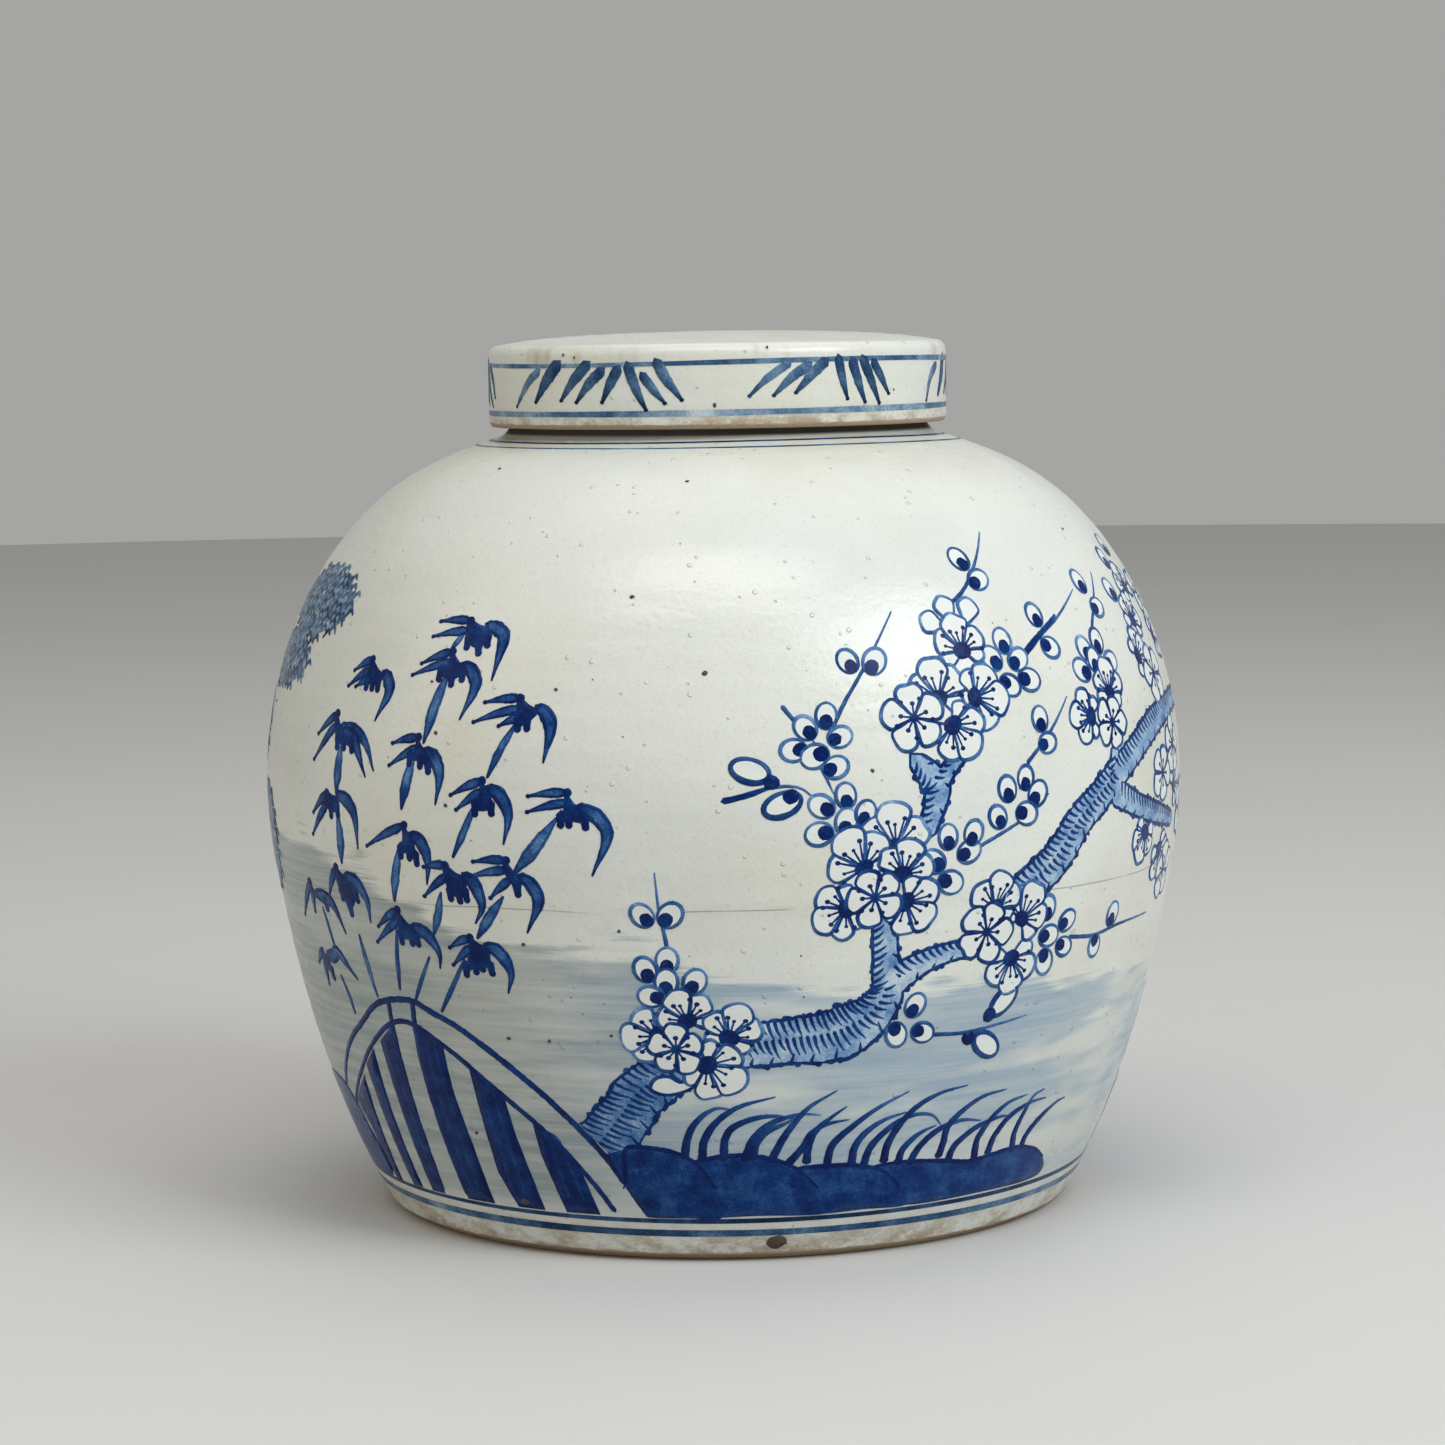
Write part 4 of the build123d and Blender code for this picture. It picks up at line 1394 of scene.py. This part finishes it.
BUDS = {
    "plum_low": [((-9.3, 87.7), 112), ((-7.0, 90.3), 84), ((-7.2, 84), 84), ((-8.3, 81.3), 170),
                 ((-4.1, 84.3), 62), ((-9.1, 103.6), 132), ((-6.9, 103.6), 48), ((23.2, 74.7), 66),
                 ((21, 69.7), -70), ((24.2, 68.5), -20)],
    "plum_middle": [((11.7, 133.7), 150), ((14, 135.7), 96), ((13.8, 128.3), 80), ((11.5, 127.3), 190),
                    ((16, 130.8), 70), ((26.5, 122.5), 96), ((28.6, 118.8), 24), ((25.2, 116.5), 150),
                    ((26.2, 111.7), -16), ((29.6, 123.0), 72)],
    "plum_buds": [((8.8, 150.3), 184), ((10, 154.8), 130), ((12, 157.6), 84), ((12.9, 152.8), 20),
                  ((11.2, 149), 200), ((12.2, 144.6), 20), ((15.6, 172.3), 118), ((18.2, 171.8), 58),
                  ((34.8, 134.3), 100), ((37.4, 137), 84), ((38.7, 132.5), 48), ((36.7, 129.0), -10),
                  ((33.6, 127), 122), ((40.7, 153), 92), ((40.7, 147.4), 12)],
    "plum_high": [((35, 198.3), 112), ((35.8, 193), 30), ((35.4, 171), 130), ((38.3, 170.6), 30),
                  ((37.2, 175.2), 92), ((36.2, 165.5), -30), ((39.3, 166.0), -10), ((44.2, 181.6), 104),
                  ((44.4, 174.6), -24)],
    "plum_right": [((42.0, 98.6), 92), ((45.2, 94.8), 30), ((42, 92.0), 0), ((45.2, 88.6), -20),
                   ((42.3, 86.2), -70), ((52.3, 87.9), -80), ((55.6, 93.0), 74)],
    "plum_far": [((50.8, 165.8), 150), ((52.2, 171), 118), ((55, 172.4), 76), ((53.3, 167.2), 90),
                 ((56.4, 167.4), 16), ((57.2, 189.4), 108), ((57.9, 183), 10), ((65.8, 186), 120),
                 ((70.4, 194.6), 92), ((75.2, 198), 80)],
}
LOOP_BUDS = {
    "plum_low": [((31.8, 64.6), -36, (34.8, 62.0)), ((34.6, 70.9), 44, (36.6, 74.6))],
    "plum_buds": [((5.4, 141.7), -196, (3.0, 144.9)), ((7.6, 137.6), 200, (6.6, 135.4))],
}


TOP_PETALS = [((29.4, 180.5), 150), ((30.4, 182.0), 104), ((32.0, 181.5), 60)]


def plum_cluster(name):
    """Blossoms and buds that grow together, back ones first."""
    canvas = wall_canvas(name, NEAR_LIFT)
    for centre, facing in BUDS.get(name, []):
        bud(canvas, centre, facing, 1.0 + wander(0.08), RANDOM.uniform(0.44, 0.62))
    if name == "plum_high":
        for centre, facing in TOP_PETALS:
            petal(canvas, centre, facing, 8.6, 0.50)
    for centre, facing, middle in LOOP_BUDS.get(name, []):
        loop_bud(canvas, centre, facing, middle)
    for centre, facing, size, tone in SIDE_BLOSSOMS.get(name, []):
        side_blossom(canvas, centre, facing, size, tone, 4.9 + wander(0.4))
    for centre, size, tone in OPEN_BLOSSOMS.get(name, []):
        open_blossom(canvas, centre, size, tone)
    canvas.finish(COBALT)


def plum_twigs():
    """The twigs of the plum tree, two of them darker towards the root."""
    canvas = wall_canvas("plum_twigs", TWIG_LIFT)
    for points in TWIGS:
        twig(canvas, points, 1.3)
    canvas.stroke([(0.0, 136.8), (3.0, 138.4), (5.4, 140.6)], [1.9, 1.5, 1.2], [0.92, 0.80], rough=0.1)
    canvas.stroke([(39.7, 172), (43, 176.5), (48, 182.5)], [2.3, 1.9, 1.0], [0.92, 0.84, 0.7], rough=0.1)
    canvas.finish(COBALT)


# --- Motifs: pine -----------------------------------------------------------------------
def pine_clump(canvas, centre, width, height, tone):
    """Foliage seen from far off: overlapping rows of small curved strokes over a thin ground."""
    wide, high = width / 2 - 1.5, height / 2 - 1
    edge = [(wide * math.cos(a) * (1 + wander(0.08)), high * math.sin(a) * (1 + wander(0.08)))
            for a in np.linspace(0, math.tau, 15)[:-1]]
    outline = canvas.around(centre, smooth_path(edge, 1.6, closed=True)[:-1])
    canvas.shapes.append(Shape(outline, None, [tone - 0.10], broad=True, mottle=0.16))
    rows = int(height / 2.7)
    for row in range(rows):
        level = height * (0.5 - (row + 0.5) / rows)
        reach = width / 2 * math.sqrt(max(0.05, 1 - (2 * level / height) ** 2))
        count = max(2, int(2 * reach / 3.3))
        for index in range(count):
            x = -reach + 2 * reach * (index + 0.5 + 0.5 * (row % 2)) / count + wander(0.8)
            y = level + wander(0.9)
            lean = wander(0.7)
            strength = min(0.94, max(0.30, tone + 0.16 + wander(0.26)))
            curl = [(x - 2.1, y - 0.9 + lean), (x, y + 0.9), (x + 2.0, y - 1.0 - lean)]
            canvas.stroke_near(centre, curl, [0.8, 1.5, 0.7], [strength, strength + 0.08, strength - 0.08],
                               rough=0.1)


PINE_CLUMPS = [((-71, 187), 58, 25, 0.50), ((-76, 170), 48, 19, 0.50), ((-88, 148), 36, 22, 0.50),
               ((-80, 116), 30, 34, 0.52), ((-104, 198), 44, 20, 0.48), ((-112, 168), 46, 22, 0.50),
               ((-126, 190), 38, 18, 0.50), ((-130, 146), 44, 22, 0.50), ((-104, 134), 34, 18, 0.52)]
PINE_LIMBS = [
    ([(-104, 30), (-108, 50), (-103, 72), (-98, 96), (-103, 120), (-100, 146), (-106, 172)],
     [20, 17, 15, 13, 11, 9, 5], 0.42),
    ([(-99, 92), (-92, 100), (-86, 106)], [8, 6, 4], 0.38),
    ([(-102, 128), (-94, 140), (-88, 148)], [8, 6, 4], 0.38),
    ([(-104, 112), (-114, 126), (-124, 138)], [9, 7, 4], 0.38),
    ([(-101, 150), (-94, 165), (-88, 176)], [7, 5, 3], 0.38),
    ([(-103, 156), (-112, 164), (-120, 180)], [7, 5, 3], 0.38),
]
FAR_HILLS = [
    [(-64, 15), (-66, 34), (-69, 41), (-75, 43), (-82, 41), (-89, 34), (-93, 15), (-80, 14.8)],
    [(-88, 34), (-95, 37), (-104, 39), (-114, 36), (-121, 28), (-124, 15), (-106, 14.8), (-91, 15)],
]


def pine_tree():
    """The pine at the left: its boughs, and its foliage in pieces of three clumps each."""
    boughs("pine_trunk", PINE_LIMBS)
    for number, (centre, width, height, tone) in enumerate(PINE_CLUMPS):
        if number % 3 == 0:
            canvas = wall_canvas("pine_foliage_%d" % (number // 3), PINE_LIFT)
        pine_clump(canvas, centre, width, height, tone)
        if number % 3 == 2:
            canvas.finish(FADED_COBALT)


def rock(canvas, outline):
    """A standing stone with a pale body and dark creases."""
    path = canvas.plane(outline)
    canvas.blob(outline, 0.40, mottle=0.12)
    closed = smooth_path(path, closed=True)
    canvas.ribbon(closed, [1.1, 1.6, 1.1, 1.5], [0.84, 0.92, 0.80], rough=0.12)
    middle = path.mean(axis=0)
    for index in range(1, len(path) - 1, 2):
        crease = [path[index], path[index] * 0.5 + middle * 0.5 + np.array([wander(2), wander(2)]),
                  path[index] * 0.25 + middle * 0.75 + np.array([wander(3), wander(3)])]
        canvas.ribbon(smooth_path(crease), [1.2, 1.0, 0.4], [0.86, 0.7, 0.6], rough=0.12)


BACK_ROCKS = [
    [(86, 26), (84, 46), (89, 66), (95, 72), (99, 60), (103, 46), (106, 26)],
    [(103, 26), (102, 40), (107, 54), (114, 50), (118, 38), (120, 26)],
]
BACK_ORDER = ("bud", "side", "open")
BACK_CLUSTERS = [
    [("side", (150, 128), 80), ("side", (144, 122), 150), ("side", (155, 121), 20), ("open", (149, 117), 8.2),
     ("bud", (140, 134), 120), ("bud", (144, 138), 90), ("bud", (150, 142), 80), ("bud", (157, 134), 40)],
    [("side", (176, 168), 90), ("side", (170, 160), 180), ("side", (182, 160), 0), ("open", (176, 154), 8.2),
     ("bud", (171, 176), 110), ("bud", (176, 181), 90), ("bud", (182, 174), 60), ("bud", (186, 168), 10)],
    [("side", (196, 112), 70), ("side", (202, 104), 0), ("side", (191, 102), 190), ("open", (197, 97), 8.0),
     ("bud", (205, 113), 30), ("bud", (208, 107), 0), ("bud", (199, 120), 90), ("bud", (193, 121), 110)],
]
BACK_LIMBS = [
    ([(120, 34), (125, 48), (134, 60), (146, 68), (154, 82), (152, 100), (150, 114)],
     [18, 16, 14, 13, 12, 9, 7], 0.40),
    ([(150, 74), (162, 82), (174, 86), (186, 92), (192, 98)], [11, 9, 8, 7, 5], 0.36),
    ([(158, 80), (166, 100), (170, 122), (176, 136), (175, 148)], [9, 8, 7, 6, 5], 0.36),
]
BACK_TWIGS = [
    [(146, 128), (143, 138), (138, 150)], [(150, 134), (152, 144), (156, 158)],
    [(176, 176), (177, 186), (181, 198)], [(182, 166), (189, 172), (195, 182)],
    [(198, 112), (200, 124), (205, 134)], [(204, 104), (211, 108), (219, 110)],
]


def back_plum():
    """A smaller plum tree on the back, which the photo does not show."""
    boughs("back_boughs", BACK_LIMBS)
    canvas = wall_canvas("back_twigs", TWIG_LIFT)
    for points in BACK_TWIGS:
        twig(canvas, points, 1.5)
    canvas.finish(COBALT)
    for number, cluster in enumerate(BACK_CLUSTERS):
        canvas = wall_canvas("back_blossoms_%d" % number, NEAR_LIFT)
        for kind, centre, value in sorted(cluster, key=lambda item: BACK_ORDER.index(item[0])):
            if kind == "bud":
                bud(canvas, centre, value)
            elif kind == "side":
                side_blossom(canvas, centre, value, 9.6, 0.62)
            else:
                open_blossom(canvas, centre, value, 0.70)
        canvas.finish(COBALT)


def rocks():
    """The standing stones beside the back plum."""
    canvas = wall_canvas("rocks", FENCE_LIFT)
    for outline in BACK_ROCKS:
        rock(canvas, outline)
    canvas.finish(COBALT)


# --- Motifs: lines, lid and specks ------------------------------------------------------
def wavy(level, swing, phase, waves=3):
    """A height or a width that drifts a little round the jar."""
    def at(azimuth):
        radians = np.radians(azimuth)
        return (level + swing * np.sin(radians + phase) + 0.35 * swing * np.sin(waves * radians + 2 * phase)
                + 0.15 * swing * np.sin(11 * radians + phase))
    return at


def uneven(level, swing, phase):
    """A strength of colour with the brush's comings and goings."""
    def at(azimuth):
        radians = np.radians(azimuth)
        return np.clip(level + swing * (np.sin(3 * radians + phase) + np.sin(7 * radians + 2 * phase)
                                        + 0.7 * np.sin(23 * radians) + 0.5 * np.sin(51 * radians + 1)) / 2.2,
                       0.05, 1.0)
    return at


def painted_lines():
    """The pairs of lines round the foot, the shoulder and the side of the lid."""
    ring("base_lines", WALL_SURFACE, "jar",
         [(lambda az: 14.1 - 0.9 * np.cos(np.radians(az)), wavy(1.3, 0.25, 1.0, 5), uneven(0.80, 0.14, 0.4)),
          (lambda az: 9.9 - 0.6 * np.cos(np.radians(az)), wavy(2.1, 0.30, 2.0, 4), uneven(0.62, 0.18, 2.1))],
         FADED_COBALT)
    ring("shoulder_lines", WALL_SURFACE, "jar",
         [(wavy(232.95, 0.10, 0.5), wavy(1.1, 0.18, 1.7, 5), uneven(0.74, 0.14, 1.0)),
          (wavy(231.45, 0.10, 2.0), wavy(0.85, 0.14, 0.2, 7), uneven(0.60, 0.16, 0.2))], FADED_COBALT)
    faded = uneven(0.46, 0.14, 2.6)
    ring("lid_lines", LID_SURFACE, "lid",
         [(lambda az: 255.9 + 0.5 * np.sin(np.radians(az) * 2 + 0.3), wavy(1.35, 0.18, 0.3, 5),
           uneven(0.52, 0.14, 0.9)),
          (lambda az: 241.5 + 0.35 * np.sin(np.radians(az)), wavy(1.5, 0.28, 1.3, 6),
           lambda az: faded(az) - 0.22 * np.exp(-(((az + 180) % 360 - 177) / 14.0) ** 2))], FADED_COBALT)


LEFT_FAN = [
    ([(-48.9, 253.9), (-53.5, 250), (-58.4, 243.5)], 2.2, 0.48),
    ([(-42, 255.7), (-46, 251), (-50, 244.8)], 3.6, 0.72),
    ([(-32.8, 255.7), (-37, 251), (-40.9, 245.3)], 3.0, 0.66),
    ([(-28.7, 253.9), (-32.5, 250), (-36.1, 244.8)], 2.8, 0.70),
    ([(-24.3, 254.4), (-26.5, 250), (-28.7, 244.8)], 2.8, 0.68),
    ([(-21.7, 255.3), (-19.9, 249), (-17.3, 242.5)], 2.8, 0.70),
    ([(-18, 252.5), (-15.6, 248.6), (-12.6, 244.4)], 2.4, 0.62),
    ([(-14.4, 256.2), (-12, 251), (-8.5, 245.3)], 2.8, 0.64),
]
RIGHT_FAN = [
    ([(17.2, 255.3), (12.4, 251.6), (7.6, 246.2)], 2.2, 0.50),
    ([(22.3, 254.8), (18, 251.4), (13.5, 246.2)], 2.6, 0.58),
    ([(26.7, 255.7), (23, 252), (19, 246.9)], 2.8, 0.60),
    ([(30.4, 256.6), (31.3, 251), (32.8, 244.8)], 2.5, 0.66),
    ([(34.4, 255.7), (36, 250), (38.1, 243.7)], 2.8, 0.70),
    ([(37.7, 256.2), (40, 250.4), (42.7, 243.3)], 2.8, 0.72),
    ([(41, 255.3), (43.4, 251), (46, 246)], 2.5, 0.68),
]


FAN_WIDTHS = (1.15, 1.2, 1.05, 0.7, 0.35)
FAN_TONES = (0.10, -0.02, -0.08, 0.02, 0.24)


def lid_fans():
    """Pairs of grass-like fans round the side of the lid, the front pair and two more behind."""
    canvas = Canvas("lid_fans", LID_SURFACE, "lid", "cobalt", FAN_LIFT)
    for turn in (0, 120, 240):
        for path, width, tone in LEFT_FAN + RIGHT_FAN:
            moved = [(a + turn + (wander(1.5) if turn else 0), h) for a, h in path]
            canvas.stroke(moved, [width * share for share in FAN_WIDTHS], [tone + more for more in FAN_TONES],
                          rough=0.08, mottle=0.08)
            canvas.spot(moved[-1], 1.4, 1.2, min(1.0, tone + 0.26))
    canvas.finish(FADED_COBALT)


SPECKS = [(7, 6, 5.2), (-31.5, 16.5, 2.6), (-11.5, 192, 1.3), (-2, 171.5, 1.5), (17.2, 143.8, 1.1),
          (-35.8, 154, 1.2), (-24.5, 95.5, 1.1), (-36.7, 37, 1.2), (-28.2, 67.5, 1.2), (-22.5, 67.5, 1.0),
          (-37.5, 168, 0.9), (-20, 167, 1.0), (-33.8, 134, 1.1), (-22.6, 120, 1.0), (-47, 226, 1.2),
          (-5.5, 222.7, 1.0)]


LID_SPECKS = [(-0.7, 243.7, 1.0), (-40, 258.6, 0.7), (-36.5, 257.8, 0.6), (12, 260.2, 0.6), (48, 247, 0.6),
              (96, 251, 0.8), (150, 246, 0.7), (-110, 249, 0.8), (-160, 258, 0.7)]


def iron_specks():
    """Dark specks that came through the glaze, the largest beside the foot."""
    canvas = Canvas("iron_specks", WALL_SURFACE, "jar", "jar_glaze", SPECK_LIFT)
    for azimuth, height, size in SPECKS:
        canvas.spot((azimuth, height), size * 1.1, size * 0.9, 0.9, wander(0.5), count=12, rough=0.14)
    for _ in range(26):
        azimuth, height = RANDOM.uniform(-180, 180), RANDOM.uniform(20, 226)
        size = RANDOM.choice([0.5, 0.6, 0.7, 0.9])
        canvas.spot((azimuth, height), size * 1.1, size, 0.9, count=8, rough=0.18)
    material = iron_material()
    canvas.finish(material)
    canvas = Canvas("lid_specks", LID_SURFACE, "lid", "lid_glaze", LID_SPECK_LIFT)
    for azimuth, height, size in LID_SPECKS:
        canvas.spot((azimuth, height), size, size * 1.5, 0.9, count=9, rough=0.2)
    canvas.finish(material)


# --- Building ---------------------------------------------------------------------------
def build_jar():
    """The glazed jar, which stands in for the CAD's jar_body."""
    outline = jar_outline()
    piece = turned("jar_glazed", outline, jar_relief, jar_bareness(outline), 360)
    # the blotches low on the foot are brown stain and also painted shade where the jar stands
    piece.data.materials.append(glaze_material("jar_glaze", True, stain_and_shade_low=0.003, stain_and_shade_high=0.016))
    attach(piece, "jar")
    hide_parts("jar_body")


def build_lid():
    """The glazed lid, which stands in for the CAD's lid."""
    outline = lid_outline()
    piece = turned("lid_glazed", outline, lid_turned_relief, lid_bareness(outline), 300)
    low = LID_BOTTOM * MM
    glaze = glaze_material("lid_glaze", False, stain_and_shade_low=low + 0.001, stain_and_shade_high=low + 0.0075)
    piece.data.materials.append(glaze)
    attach(piece, "lid")
    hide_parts("lid")


def paint():
    """All the painting, and the specks that lie over it."""
    painted_lines()
    lid_fans()
    bamboo("bamboo_right", SPRIGS[:6])
    bamboo("bamboo_lower", SPRIGS[6:11])
    bamboo("bamboo_left", SPRIGS[11:])
    fence()
    meadow("meadow", 0.0, HILLS, GRASS)
    boughs("plum_boughs", PLUM_LIMBS, gap=TRUNK_GAP)
    plum_twigs()
    for name in ("plum_low", "plum_middle", "plum_buds", "plum_high", "plum_right", "plum_far"):
        plum_cluster(name)
    pine_tree()
    back_plum()
    rocks()
    meadow("back_meadow_near", 96.0, HILLS, GRASS)
    meadow("back_meadow_far", 161.0, HILLS, GRASS)
    meadow("pine_hills", 0.0, FAR_HILLS, [])
    bamboo("back_bamboo", SPRIGS[1:11], 137.0, 4.0)
    iron_specks()


def set_view():
    """Colours are shown as they are, without the contrast curve that Blender adds by default."""
    bpy.context.scene.view_settings.view_transform = "Standard"


build_jar()
build_lid()
paint()
add_floor()
add_lights()
add_camera()
set_view()
